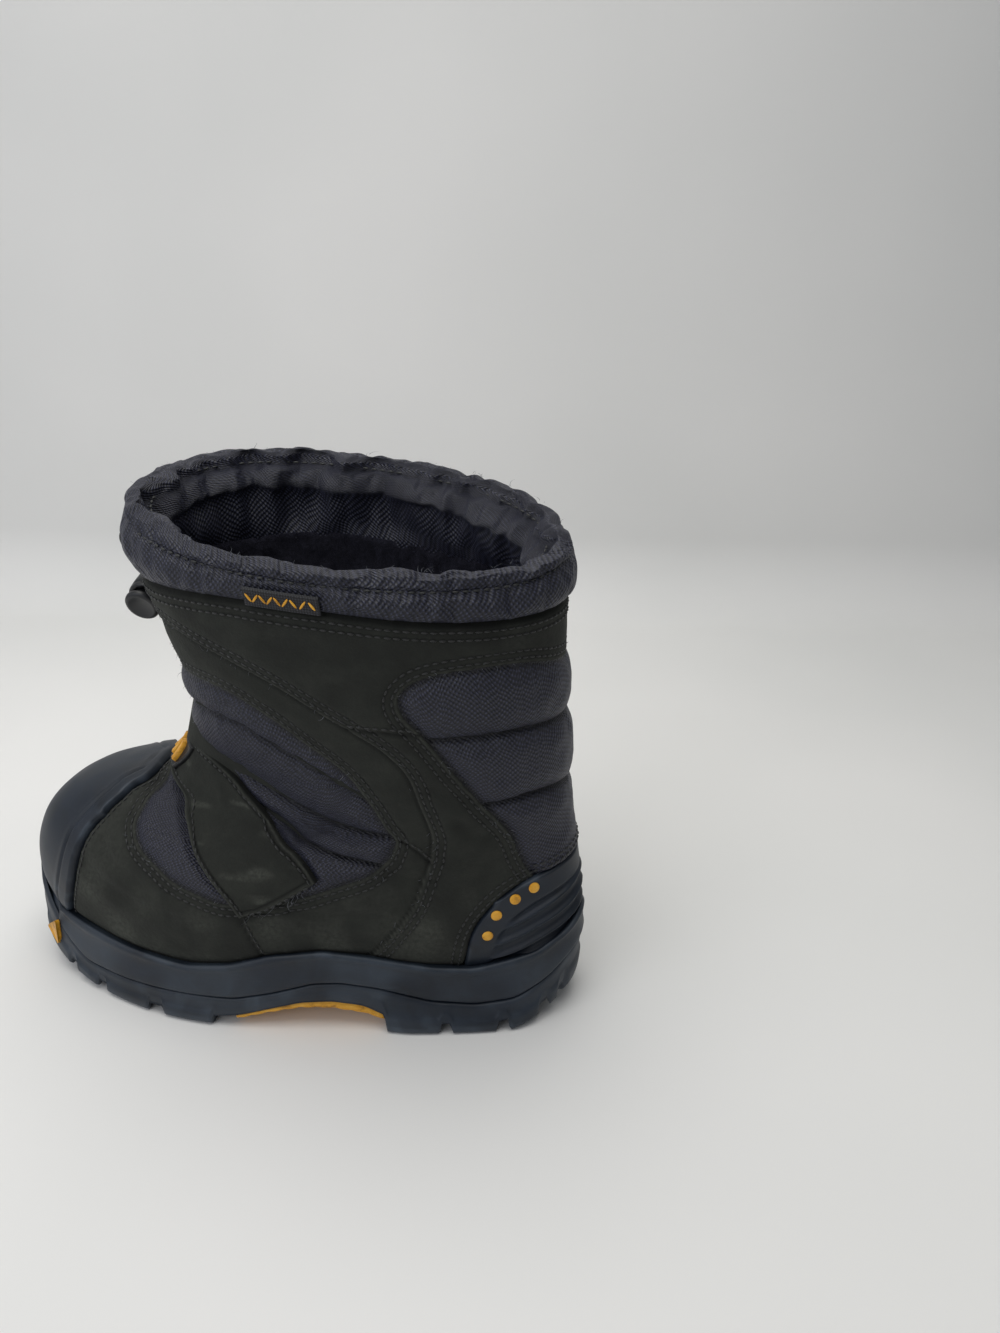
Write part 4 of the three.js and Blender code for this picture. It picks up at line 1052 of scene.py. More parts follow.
def upperRelief(turn, points):
    # how far the sewn upper stands out from the last at each point, with the signed distance to the
    # nylon's edge (more than nought in the nylon), how worn each point is and how much painted shade darkens
    # its seams
    turn, points = turn.ravel(), points.reshape(-1, 3)
    height = points[:, 2]
    side = np.maximum(signedSide("front", turn, points), signedSide("back", turn, points))
    bandSide = signedSide("band", turn, points)
    # nylon: a pillow between the quilting lines, with puckers that die away from each line
    quilt, along = edgeDistance(points, [q for rows in quiltLines.values() for q in rows])
    rise = 1 - (1 - np.clip(np.minimum(quilt, side) / relief["quiltHalf"], 0, 1)) ** 2
    pucker = patches(np.stack([along, quilt * 0.5], 1), 3.2, 5) + 0.6 * patches(points, 7, 6)
    cloth = relief["puff"] * rise - relief["sink"] * bell(quilt, 0.9)
    cloth += relief["pucker"] * pucker * np.exp(-np.maximum(quilt, 0) / 4.5) * smooth(0, 1.5, quilt)
    cloth += 0.35 * patches(points, 4.5, 8) * rise
    # leather: overlay steps, a soft roll between seams, creases and the dips of the stitching
    hide = relief["leather"] + relief["band"] * smooth(-0.35, 0.35, bandSide)
    seamNear = np.minimum(np.abs(bandSide), np.abs(side))
    hide += relief["roll"] * (smooth(1, 9, seamNear) - bell(bandSide + 0.5, 0.6))
    joins = [edgeDistance(points, lines[name])[0] for name in ("joint", "cross", "forefoot")]
    for d in joins:
        hide -= relief["join"] * bell(d, 0.7)
    for line, depth, wide in creaseLines:
        d, _ = nearLine(points, line)
        hide += depth * (0.45 * bell(d - 2.1 * wide, wide) - bell(d, wide))
    hide += 0.22 * patches(points, 11, 3) + 0.1 * patches(points, 4, 4)
    for rowAt in stitch["rows"]:
        hide -= relief["dip"] * (bell(-side - rowAt, 0.55) + bell(bandSide - rowAt, 0.55))
    made = np.where(side > 0, cloth, hide)
    edge = smooth(-0.45, 0.45, side)
    made = np.where(np.abs(side) < 0.45, hide * (1 - edge) + cloth * edge, made)
    # flat under the strap, the anchor, the cap, the counter, the cuff and the midsole
    pressed = np.zeros(len(points))
    for loop, loopLines in ((strapLoop, strapLines), (anchorLoop, anchorLines)):
        d, _ = edgeDistance(points, loopLines)
        signed = np.where(inside(np.mod(turn, 360), height, loop), d, -d)
        pressed = np.maximum(pressed, smooth(-3.0, 0.0, signed))
    capSide, counterSide = signedSide("cap", turn, points), signedSide("counter", turn, points)
    made = made * (1 - pressed) + np.minimum(made, relief["pressed"]) * pressed
    covered = np.maximum(smooth(-0.6, 0.4, capSide), smooth(-0.6, 0.4, counterSide))
    made = made * (1 - covered) + relief["covered"] * covered
    made -= 0.5 * bell(np.minimum(capSide, 0) + 0.8, 0.8) * (capSide < 0)
    aboveFeather = height - featherHeight(turn)
    made = made * smooth(-2.5, 1.0, aboveFeather) + 0.1 - 0.5 * bell(aboveFeather - 0.6, 0.9)
    belowCuff = seamHeight(turn) - height
    made = made * smooth(-0.5, 1.8, belowCuff)
    # worn: the nylon's and the band's edges, patches of the hide and the feather line; the hide is also paler
    # in patches towards its bottom
    wear = 0.8 * bell(side + 0.5, 0.6) * (side < 0.3)
    wear += 0.5 * bell(np.abs(bandSide - 0.3), 0.5)
    wear += 0.25 * smooth(0.1, 0.7, patches(points, 15, 9)) * (side < 0)
    wear += 0.6 * smooth(66, 30, height) * smooth(-0.4, 0.5, patches(points, 12, 19)) * (side < 0)
    wear += 0.9 * smooth(0.2, 0.6, patches(points, 2.2, 10)) * bell(aboveFeather - 1, 1.3)
    # painted shade: dark lines along the nylon's edge, in the quilting, under both rows of stitches, along
    # the feather line, under the cuff and in the joins
    dark = 0.9 * bell(side - 0.5, 0.9) + 0.95 * bell(quilt, 1.0) * (side > 0)
    dark += 0.8 * bell(bandSide + 0.6, 0.5) * (side < 0)
    for rowAt in stitch["rows"]:
        rows = bell(-side - rowAt, 0.5) + bell(bandSide - rowAt, 0.5) + bell(belowCuff - rowAt - 0.5, 0.5)
        dark += 0.55 * rows * (side < 0)
    dark += 0.7 * bell(aboveFeather - 0.3, 0.8) + 0.8 * bell(belowCuff, 0.9)
    for d in joins:
        dark += 0.8 * bell(d, 0.5)
    return made, side, np.clip(wear, 0, 1), np.clip(dark, 0, 1)


print("stage: upper")

upper = {"columns": 452, "rows": 196, "innerRows": 5, "under": 7, "wall": 1.6}


def makeUpper():
    # columns round the last and rows up it, evenly spaced on the average of five of its profiles,
    # each point moved out by the relief; a few coarse rows inside close the wall
    turn = evenTurns(upper["columns"], 60)
    level = np.linspace(0, 12.6, 253)
    profile = lastPoint(np.radians([[20], [90], [135], [165], [180]]), level[None])
    arc = np.concatenate([[0], np.cumsum(np.linalg.norm(np.diff(profile, axis=1), axis=2).mean(0))])
    low = levelAt(np.radians(turn), featherHeight(turn) - upper["under"])
    high = levelAt(np.radians(turn), seamHeight(turn) + 1.2)
    start, end = np.interp(low, level, arc), np.interp(high, level, arc)
    v = np.linspace(0, 1, upper["rows"])
    levels = np.interp(start[:, None] + (end - start)[:, None] * v, arc, level)
    turns = np.broadcast_to(turn[:, None], levels.shape)
    base = lastPoint(np.radians(turns), levels)
    normal = lastNormal(np.radians(turns), levels)
    out, side, wear, dark = upperRelief(turns, base)
    outside = base + normal * out.reshape(levels.shape)[..., None]
    pick = np.linspace(upper["rows"] - 1, 0, upper["innerRows"]).round().astype(int)
    within = (base - normal * upper["wall"])[:, pick]
    shape = (len(turn), upper["rows"])
    layers = {}
    # the painted shade in the seams is stored as the crevice layer
    for name, values in (("nylonSide", side), ("wear", wear), ("crevice", dark)):
        values = values.reshape(shape)
        layers[name] = np.concatenate([values, values[:, pick] * 0 - 9 * (name == "nylonSide")], 1)
    wall = np.concatenate([outside, within], 1)
    made = sweepMesh("sewnUpper", wall, upperMaterial, slot="leather", layers=layers)
    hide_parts("upper")


def onUpper(turn, height, above=0.0):
    # a point on the finished upper, and the way out of it
    place, normal = onLast(turn, height)
    out = upperRelief(np.asarray(turn, float), place)[0]
    return place + normal * (out + above)[:, None], normal


makeUpper()

print("stage: stitching")


def beside(line, distance):
    # chart points moved sideways over the surface: least squares of the step against the surface's
    # own directions round and up
    chart = line["chart"]
    aside = unit(np.cross(line["normal"], line["tangent"])) * distance
    ahead = onLast(chart[:, 0] + 0.5, chart[:, 1])[0] - onLast(chart[:, 0] - 0.5, chart[:, 1])[0]
    rise = onLast(chart[:, 0], chart[:, 1] + 0.5)[0] - onLast(chart[:, 0], chart[:, 1] - 0.5)[0]
    hh, hr, rr = (ahead * ahead).sum(1), (ahead * rise).sum(1), (rise * rise).sum(1)
    ha, ra = (ahead * aside).sum(1), (rise * aside).sum(1)
    area = hh * rr - hr * hr + 1e-9
    return chart + np.stack([(rr * ha - hr * ra) / area, (hh * ra - hr * ha) / area], 1)


def stitchPlaces(place, normal, lift=0.0, pitch=None):
    # evenly spaced places along a line, with its direction, side and way out at each
    pitch = pitch or stitch["pitch"]
    arc = travelled(place)
    at = np.arange(pitch / 2, arc[-1], pitch)
    middle = np.stack([np.interp(at, arc, place[:, k]) for k in range(3)], 1)
    out = unit(np.stack([np.interp(at, arc, normal[:, k]) for k in range(3)], 1))
    step = 0.4 * pitch
    ahead = np.stack([np.interp(at + step, arc, place[:, k]) - np.interp(at - step, arc, place[:, k])
                      for k in range(3)], 1)
    along = unit(ahead - out * (ahead * out).sum(1)[:, None])
    aside = np.cross(out, along)
    axes = np.stack([aside * stitch["thick"] / 2, out * stitch["thick"] / 2, along * stitch["length"] / 2], 1)
    return middle + out * lift, axes


stitchShape, stitchFaces = ballPoints(3, 6)


def addStitches(name, rows, material=threadMaterial, slot="leather"):
    # rows is a list of (places, axes)
    places = np.concatenate([r[0] for r in rows])
    axes = np.concatenate([r[1] for r in rows])
    manyMesh(name, stitchShape, stitchFaces, places, axes, material, slot=slot)


def makeUpperStitches():
    # rows beside each seam line at steady distances, cut where the strap, the counter, the cuff or
    # the sole hides them, and two rows under the cuff
    rows = []
    plan = [("front", 1, stitch["rows"]), ("band", 1, stitch["rows"]), ("back", -1, stitch["rows"]),
            ("joint", 1, (1.8,)), ("cross", 1, (1.6,)), ("forefoot", 1, (1.6,)), ("cap", -1, (2.2,)),
            ("counter", -1, stitch["rows"])]
    for name, sign, distances in plan:
        for line, flip in zip(lines[name], (1, -1)):
            for distance in distances:
                chart = beside(line, sign * flip * distance)
                place, normal = onUpper(chart[:, 0], chart[:, 1])
                turn, height = chart[:, 0], chart[:, 1]
                shown = (height > featherHeight(turn) + 1) & (height < seamHeight(turn) - 1)
                if name in ("front", "back", "band"):
                    shown &= ~inside(foldOver(turn), height, closedOutline["counter"])
                    shown &= ~inside(np.mod(turn, 360), height, strapLoop)
                cut = np.nonzero(np.diff(np.concatenate([[0], shown.astype(int), [0]])))[0].reshape(-1, 2)
                rows += [stitchPlaces(place[a:b], normal[a:b], 0.12) for a, b in cut if b - a > 8]
    turn = np.linspace(0, 360, 900)
    for drop in (2.4, 5.2):
        place, normal = onUpper(turn, seamHeight(turn) - drop)
        rows.append(stitchPlaces(place, normal, 0.12))
    addStitches("upperStitching", rows)


makeUpperStitches()

print("stage: cuff")

cuff = {
    "columns": 330, "perSpan": 3, "hem": 5.2, "pressure": 5, "growth": 0.05, "cap": 2.8,
    "folds": 4.8, "foldSize": 12, "tagAt": 95,
}


def closedRows(knots, perSpan):
    # a smooth closed curve through each row of knots: each span's slopes are half its neighbours' step
    a, b, c, d = (np.roll(knots, k, axis=1)[:, :, None] for k in (1, 0, -1, -2))
    t = np.linspace(0, 1, perSpan, endpoint=False)[None, None, :, None]
    curve = 0.5 * (2 * b + (c - a) * t + (2 * a - 5 * b + 4 * c - d) * t**2 + (3 * b - a - 3 * c + d) * t**3)
    return curve.reshape(knots.shape[0], -1, knots.shape[2])


def cuffKnots(turn):
    # the cuff's section: up the outside from the seam, in at the hem's stitching, over the rim,
    # down the gathered inside and back up behind it; height and distance out from the last
    seam, rim = seamHeight(turn), rimHeight(turn)
    hem = rim - cuff["hem"]
    body = hem - seam
    knots = [
        (seam - 0.6, -0.6), (seam + 0.4, 1.0), (seam + 0.2 * body, 3.2), (seam + 0.48 * body, 4.2),
        (seam + 0.76 * body, 3.6), (hem - 1.2, 2.2), (hem, 1.0), (hem + 0.9, 1.3), (hem + 2.2, 1.3),
        (hem + 3.9, 0.5), (rim - 0.5, -1.0), (rim, -2.8), (rim - 0.7, -4.8), (rim - 2.4, -6.0),
        (hem + 0.6, -6.4), (hem - 0.8, -6.9), (hem - 3, -9.4), (hem - 7.5, -11.6), (hem - 12, -10.4),
        (seam + 0.5, -7.6), (seam - 6, -6.1), (seam - 22, -5.7), (seam - 23.5, -5.3), (seam - 20, -4.9),
        (seam - 9, -4.9),
    ]
    return np.stack([np.stack(np.broadcast_arrays(h, o + 0 * turn), -1) for h, o in knots], 1)


def makeCuff():
    # the section carried round the rim, its distance out and height moved by folds and fine puckers
    turn = evenTurns(cuff["columns"], 180)
    section = closedRows(cuffKnots(turn), cuff["perSpan"])
    height, out = section[..., 0], section[..., 1]
    turns = np.broadcast_to(turn[:, None], height.shape)
    # folds run up the cuff and lean a little; deepest inside and on top, where the cord gathers them
    flat = wallPoint(turns, np.minimum(height, 205), 0 * height)
    foot = flat[:, :1] + 0 * flat
    lean = np.stack([foot[..., 0], foot[..., 1], height * 0.30 + out * 0.35], -1)
    fold = patches(lean, cuff["foldSize"], 11) + 0.55 * patches(lean, cuff["foldSize"] * 0.5, 12)
    fine = patches(lean * [1, 1, 0.5], 4.2, 13)
    seam, rim = seamHeight(turns), rimHeight(turns)
    within = smooth(-3.2, -6.5, out) * smooth(seam - 2, seam + 5, height)
    hidden = (out < -4) * smooth(seam + 1, seam - 3, height)
    top = smooth(rim - 7, rim - 1, height)
    depth = (0.45 + 0.75 * top + (cuff["folds"] - 0.6) * within) * (1 - hidden)
    held = 1 - bell(height - (seam - 0.6), 2.2) * (1 - within)
    hemNear = bell(height - (rim - cuff["hem"]), 2.6)
    out = out + held * (depth * fold + (0.14 + 0.55 * hemNear) * (1 - hidden) * fine)
    height = height + held * (top + 0.8 * within) * (1.3 * patches(lean, 13, 14) + 0.35 * fine)
    # drawn in behind the cord's tab at the front and the tag on the outer side
    tab = np.exp(-(np.abs(turns - 180) / 13) ** 4) * (out > 0) * (height < rim - 5)
    tag = np.exp(-(np.abs(turns - cuff["tagAt"]) / 12) ** 4) * (out > 0) * (height < seam + 8)
    out = out - np.maximum(out - 2.1, 0) * np.maximum(tab, tag)
    points = wallPoint(turns, height, out)
    made = sweepMesh("gatheredCuff", points, nylonMaterial, slot="shell_cloth")
    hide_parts("collar")
    return made, height, out, seam, rim, np.maximum(tab, tag)


air = {"frames": 20, "quality": 5, "mass": 0.004, "stretch": 12, "shear": 6, "bending": 0.02}


def fillWithAir(made, held, pressure, growth, cap):
    # cloth: the shell grows by a few percent and is blown up while its held points stay, which puckers
    # it along its seams; no point may move further than the cap
    mesh = made.data
    before = np.empty(len(mesh.vertices) * 3, np.float32)
    mesh.vertices.foreach_get("co", before)
    group = made.vertex_groups.new(name="held")
    for share in np.unique(held[held > 0]):
        group.add(np.nonzero(held == share)[0].tolist(), float(share), "REPLACE")
    cloth = made.modifiers.new("cloth", "CLOTH")
    settings = cloth.settings
    settings.quality = air["quality"]
    settings.mass = air["mass"]
    settings.tension_stiffness = settings.compression_stiffness = air["stretch"]
    settings.shear_stiffness = air["shear"]
    settings.bending_stiffness = air["bending"]
    settings.use_pressure = True
    settings.uniform_pressure_force = pressure
    settings.shrink_min = -growth
    settings.vertex_group_mass = "held"
    settings.effector_weights.gravity = 0
    cloth.point_cache.frame_end = air["frames"]
    for step in range(1, air["frames"] + 1):
        scene.frame_set(step)
    after = np.empty_like(before)
    made.evaluated_get(bpy.context.evaluated_depsgraph_get()).data.vertices.foreach_get("co", after)
    made.modifiers.remove(cloth)
    scene.frame_set(1)
    move = (after - before).reshape(-1, 3)
    far = np.linalg.norm(move, axis=1, keepdims=True)
    print("cloth moved up to", round(float(far.max()) / mm, 2), "mm, mean", round(float(far.mean()) / mm, 2))
    move *= np.minimum(1, cap * mm / np.maximum(far, 1e-9))
    mesh.vertices.foreach_set("co", (before.reshape(-1, 3) + move).ravel())
    made.vertex_groups.clear()
    mesh.update()


def finishCuff():
    # the hem, the seam and what the tab and the tag cover are held while the rest fills with air
    made, height, out, seam, rim, drawn = makeCuff()
    held = bell(height - (rim - cuff["hem"]), 0.9) * 0.9
    held = np.where((height < seam + 1.2) & (out > -5.6), 1.0, held)
    held = np.where((height < seam + 0.5) | (drawn > 0.3), 1.0, held)
    held = np.round(np.where(held > 0.05, held, 0), 1).ravel()
    fillWithAir(made, held, cuff["pressure"], cuff["growth"], cuff["cap"])
    soft = made.modifiers.new("soft", "SUBSURF")
    soft.levels = soft.render_levels = 1


finishCuff()


def makeCuffStitches():
    # one row round the hem outside, sunk between its puckers, and one inside
    turn = np.linspace(0, 360, 1000)
    rows = []
    for out, drop in ((1.3, 0.1), (-6.7, -0.4)):
        level = rimHeight(turn) - cuff["hem"] - drop
        place = wallPoint(turn, level, out + 0 * turn)
        ahead = wallPoint(turn, level, 1 + out + 0 * turn)
        rows.append(stitchPlaces(place, unit(ahead - place) * np.sign(out), 0.0, 3.4))
    addStitches("cuffStitching", rows, slot="shell_cloth")


makeCuffStitches()

print("stage: lining and footbed")

lining = {"columns": 300, "rows": 120, "wall": 0.4, "behind": 6.3, "tuft": 1.1, "tuftSize": 3.2}


def makeLining():
    # pile hung on the inside of the wall: a thin closed skin whose inner face is tufted
    turn = evenTurns(lining["columns"], 60)
    low = levelAt(np.radians(turn), lastPoint(np.radians(turn), 0)[:, 2] + 5.2)
    high = levelAt(np.radians(turn), seamHeight(turn) - 1)
    v = np.linspace(0, 1, lining["rows"])
    levels = low[:, None] + (high - low)[:, None] * v
    turns = np.radians(np.broadcast_to(turn[:, None], levels.shape))
    base, normal = lastPoint(turns, levels), lastNormal(turns, levels)
    tuft = patches(base, lining["tuftSize"], 21) + 0.6 * patches(base, lining["tuftSize"] * 0.45, 22)
    tuft = lining["tuft"] * (tuft + 0.6 * patches(base, 14, 23))
    inner = base - normal * (lining["behind"] + lining["wall"] + 1 + tuft)[..., None]
    outer = (base - normal * lining["behind"])[:, ::-8]
    sweepMesh("fleeceLining", np.concatenate([inner, outer], 1), fleeceMaterial, slot="shell_cloth")


makeLining()

footbed = {"columns": 240, "clearance": 5.4, "thick": 4.2, "across": 14}


def makeFootbed():
    # a flat bed on the sole's curve: rings from the middle line out to the edge and back underneath
    turn = evenTurns(footbed["columns"], 30)
    rim = lastPoint(np.radians(turn), 0.25) - lastNormal(np.radians(turn), 1.0) * footbed["clearance"]
    spine = spinePoint(rim[:, 0], lambda x: over("footBed", x))
    v = np.linspace(0, 1, footbed["across"])[None, :, None]
    top = spine[:, None] * (1 - v) + rim[:, None] * v
    edge = roundEdge(np.linalg.norm(top - rim[:, None], axis=2), 1.6)
    bed = over("footBed", top[..., 0]) + 0.35
    low = top.copy()
    low[..., 2] = bed
    top[..., 2] = bed + 0.8 + (footbed["thick"] - 0.8) * edge + 0.25 * patches(top, 9, 31)
    both = np.concatenate([top, low[:, ::-1]], 1)
    made = sweepMesh("feltFootbed", both, feltMaterial, loop=False, welded=True, slot="footbed")
    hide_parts("insole")


makeFootbed()

print("stage: sole")

sole = {
    "columns": 640, "bed": 5.5, "edge": 5.2, "hidden": 3.2, "gap": 0.3, "flare": 2.4,
    "tuck": 5, "under": 40, "lugFace": 0.8,
    # lug rows: from x, to x, lean of their sides; and blocks across: from y, to y, share of the length
    "rows": [(-108, -92, 3), (-88, -76, 3), (-71, -50, 3), (-43, -22, -3), (45, 66, -3), (69.5, 87, 0),
             (91.5, 102, 3), (105, 116, 3)],
    "blocks": [(-70, -15, 1), (-11, 11, 0.8), (15, 70, 1)],
}


def bedUnder(x):
    # the underside of the midsole's floor, never above the outsole's lip
    return np.minimum(over("footBed", x) - sole["bed"], over("lip", x) - 1)


def makeMidsole():
    # a cup: floor under the foot, wall hidden behind the outsole's lip, then the band that shows,
    # hollowed a little, with a bead along its top
    turn = evenTurns(sole["columns"], 30)
    feather, lip = featherHeight(turn), lipHeight(turn)
    shows = smooth(3.5, 8, feather - lip)
    edge = sole["hidden"] + (sole["edge"] - sole["hidden"]) * shows
    shoulder = np.minimum(lip + sole["gap"], feather - 2)
    foot = lastPoint(np.radians(turn), 0)
    floor = lambda x: over("footBed", x) - sole["gap"]
    rows = [spinePoint(foot[:, 0], bedUnder)]
    low = wallPoint(turn, 0 * turn + 30, sole["hidden"] + 0 * turn)
    low[:, 2] = bedUnder(foot[:, 0])
    rows.append(low)
    rows.append(wallPoint(turn, shoulder, sole["hidden"] + 0 * turn))
    rows.append(wallPoint(turn, shoulder + 0.1, edge - 0.9))
    for rise, out in ((0.03, -0.25), (0.07, 0.0), (0.14, 0.1), (0.3, -0.25), (0.5, -0.6), (0.68, -0.75),
                      (0.78, -0.5), (0.84, 0.0), (0.9, 0.15), (0.96, -0.1), (0.99, -0.6), (1.0, -1.3)):
        height = shoulder + 0.1 + (feather + 0.8 - shoulder) * rise
        rows.append(wallPoint(turn, height, edge + out * (0.4 + 0.6 * shows) - 1.1 * rise**2))
    top = feather + 0.55
    for share, drop in ((0.5, 0.1), (0.15, 0.5)):
        rows.append(wallPoint(turn, top - drop, edge * share))
    level = levelAt(np.radians(turn), feather)
    for v in (0.12, 0.5, 1.0):
        below = level * (1 - v)
        inner = lastPoint(np.radians(turn), below) + lastNormal(np.radians(turn), below) * 0.5
        if v == 1.0:
            inner[:, 2] = floor(foot[:, 0])
        rows.append(inner)
    rows.append(spinePoint(foot[:, 0], floor))
    points = np.stack(rows, 1)
    dust = 0.55 * bell(points[..., 2] - feather[:, None] - 0.6, 0.7)
    dust *= smooth(-0.1, 0.5, patches(points, 7, 41))
    dust += 0.45 * smooth(-0.6, 0.5, patches(points, 18, 43))
    made = sweepMesh("midsoleBand", points, rubberMaterial, loop=False, welded=True, slot="rubber",
                     layers={"wear": dust})
    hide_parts("midsole")


def lugShare(x, y):
    # 1 on a lug, 0 in the channels, with drafted sides; sides of the outer blocks lean
    swing = last["toeSwing"] * smooth(0, 1, x / last["spine"][0])
    share = np.zeros(np.broadcast(x, y).shape)
    aside = y - swing
    for start, end, lean in sole["rows"]:
        middle, half = (start + end) / 2, (end - start) / 2
        for low, high, part in sole["blocks"]:
            slant = 0 if part < 1 else abs(lean) * 0.25 * (np.abs(aside) - 15) / 30
            along = half * part - np.abs(x - middle + slant)
            within = np.minimum(aside - low, high - aside)
            share = np.maximum(share, smooth(-0.45, 0.45, np.minimum(along, within)))
    return share


def makeOutsole():
    # underside: a height over the plan, lugs down to the ground and channels up to the base, with a
    # fine cut across each lug; then the side wall with its lug faces, the lip and the inside
    turn = evenTurns(sole["columns"], 30)
    x0 = lastPoint(np.radians(turn), 0)[:, 0]
    flare = sole["flare"] * smooth(30, 52, x0) - sole["tuck"] * smooth(86, 106, x0)
    low = wallPoint(turn, 0 * turn + 30, sole["edge"] + sole["gap"] + flare)
    spine = spinePoint(x0, lambda x: 0 * x)
    v = np.linspace(0, 1, sole["under"])[None, :, None] ** 0.8
    under = spine[:, None] * (1 - v) + (low * [1, 1, 0])[:, None] * v
    x, y = under[..., 0], under[..., 1]
    lug = lugShare(x, y)
    base, ground = over("base", x), over("ground", x, 0.6)
    cut = np.zeros_like(x)
    for start, end, _ in sole["rows"]:
        cut = np.maximum(cut, bell(x - (start + end) / 2 - 0.06 * np.abs(y), 0.6))
    inFromEdge = np.linalg.norm(under - under[:, -1:], axis=2)
    z = base + (ground - base) * lug + 1.2 * cut * lug * smooth(3, 5, inFromEdge)
    z += 0.9 * (1 - roundEdge(inFromEdge, 1.0)) * smooth(0.1, 0.6, lug)
    under[..., 2] = z
    lip = lipHeight(turn)
    edgeLug = lug[:, -1]
    bottom = z[:, -1]
    rows = []
    for rise, out in ((0.05, 0.55), (0.12, 0.2), (0.2, 0), (0.32, 0), (0.44, 0), (0.5, 0), (0.55, -0.1),
                      (0.6, -0.15), (0.7, -0.15), (0.8, -0.1), (0.9, 0), (0.96, -0.25), (0.985, -0.6),
                      (1, -1.1)):
        height = bottom + (lip - bottom) * rise
        face = sole["lugFace"] * edgeLug * (1 - smooth(0.42, 0.52, rise)) * smooth(3.5, 8, lip - bottom)
        wide = sole["edge"] + sole["gap"] + flare * (1 - 0.8 * rise)
        softened = -0.5 * out if rise < 0.15 else out
        rows.append(wallPoint(turn, height, wide + face + softened - 0.5 * rise**2))
    rows.append(wallPoint(turn, lip, sole["hidden"] + sole["gap"] + 0 * turn))
    inner = wallPoint(turn, 0 * turn + 30, sole["hidden"] + sole["gap"] + 0 * turn)
    inner[:, 2] = bedUnder(x0) - sole["gap"]
    rows += [inner, spinePoint(x0, lambda x: bedUnder(x) - sole["gap"])]
    points = np.concatenate([under, np.stack(rows, 1)], 1)
    dust = 0.35 * (points[..., 2] < 3.5) + 0.25 * smooth(0.1, 0.6, patches(points, 6, 42))
    dust += 0.4 * smooth(-0.6, 0.5, patches(points, 18, 44))
    made = sweepMesh("treadOutsole", points, rubberMaterial, loop=False, welded=True, slot="rubber",
                     layers={"wear": dust})
    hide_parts("outsole")


makeMidsole()
makeOutsole()

archInsert = {"from": -14, "pitch": 6.4, "ribs": 9, "inset": 0.7, "gap": 0.9, "perRib": 10, "across": 21}


def makeArchInsert():
    # ribs across the arch: each a rounded wave, deepest at the middle of the insert
    count = archInsert["ribs"] * archInsert["perRib"]
    long = archInsert["ribs"] * archInsert["pitch"]
    x = archInsert["from"] + 0.4 + np.linspace(0, 1, count) * (long - 0.8)
    share = (x - archInsert["from"]) / long
    deep = 2.2 + 4.0 * smooth(0.1, 0.9, share)
    wave = np.abs(np.sin(math.pi * (x - archInsert["from"]) / archInsert["pitch"])) ** 0.6
    deep = deep - 0.9 + 0.9 * wave
    # out to just inside the sole's own edge on each side
    sides = []
    for turns in ((60, 120), (300, 240)):
        edge = wallPoint(np.linspace(*turns, 60), np.full(60, 30.0), np.full(60, sole["edge"]))
        sides.append(np.interp(x, edge[::-1, 0], np.abs(edge[::-1, 1])) - archInsert["inset"])
    v = np.linspace(-1, 1, archInsert["across"])[None]
    side = np.where(v > 0, sides[1][:, None], sides[0][:, None])
    y = v * side
    top = over("base", x)[:, None] - archInsert["gap"] + 0 * y
    soft = roundEdge((1 - np.abs(v)) * side, 1.5)
    lowZ = top - 0.4 - (deep[:, None] - 0.4) * (0.55 + 0.45 * soft)
    grid = lambda z: np.stack([x[:, None] + 0 * y, y, z], -1)
    made = slabMesh("archInsertRibbed", grid(lowZ), grid(top), amberMaterial, slot="yellow_rubber")
    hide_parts("arch_insert")


toePlug = {"corners": [(27, 15), (38, 25), (37, 11.5)], "depth": 1.5, "proud": 0.35, "steps": 14}


def makeToePlug(side, name):
    # a triangle with soft corners on the bumper: rings shrinking to its middle, domed
    out = sole["edge"] + sole["gap"]
    corners = np.array([wallPoint(np.array([180 - side * a]), np.array([float(h)]), np.array([out]))[0]
                        for a, h in toePlug["corners"]])
    centre = corners.mean(0)
    way = unit(np.cross(corners[1] - corners[0], corners[2] - corners[0]) * side)
    loop = np.concatenate([corners[k] + (corners[(k + 1) % 3] - corners[k]) *
                           np.linspace(0.09, 0.91, toePlug["steps"])[:, None] for k in range(3)])
    proud = toePlug["proud"]
    rings = [(0.25, proud + 0.25), (0.6, proud + 0.2), (0.88, proud + 0.05), (0.96, proud - 0.1),
             (0.985, -0.2), (0.985, -toePlug["depth"])]
    points = np.stack([centre + (loop - centre) * grow + way * rise for grow, rise in rings], 1)
    quads, _ = gridQuads(len(loop), len(rings), True, False)
    i = np.arange(len(loop))
    k = (i + 1) % len(loop)
    n, m = len(loop) * len(rings), len(rings)
    lid = np.stack([k * m, i * m, np.full(len(loop), n)], 1)
    back = np.stack([i * m + m - 1, k * m + m - 1, np.full(len(loop), n + 1)], 1)
    ends = np.array([centre + way * (proud + 0.25), centre - way * toePlug["depth"]])
    made = putMesh("toePlug" + name.title(), np.concatenate([points.reshape(-1, 3), ends]),
                   [quads, lid, back], amberMaterial, slot="yellow_rubber")
    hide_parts("toe_plug_" + name)


makeArchInsert()
makeToePlug(1, "outer")
makeToePlug(-1, "inner")

print("stage: cap and counter")


def edgeReach(points, openFoot=False):
    # distance from each point of a grid to the nearest of its edges; an open foot doesn't count
    wide = arcUv(points, False)
    u, v = wide[..., 0], wide[..., 1]
    head = v[:, -1:] - v
    return np.minimum(np.minimum(u, u[-1:] - u), head if openFoot else np.minimum(v, head))


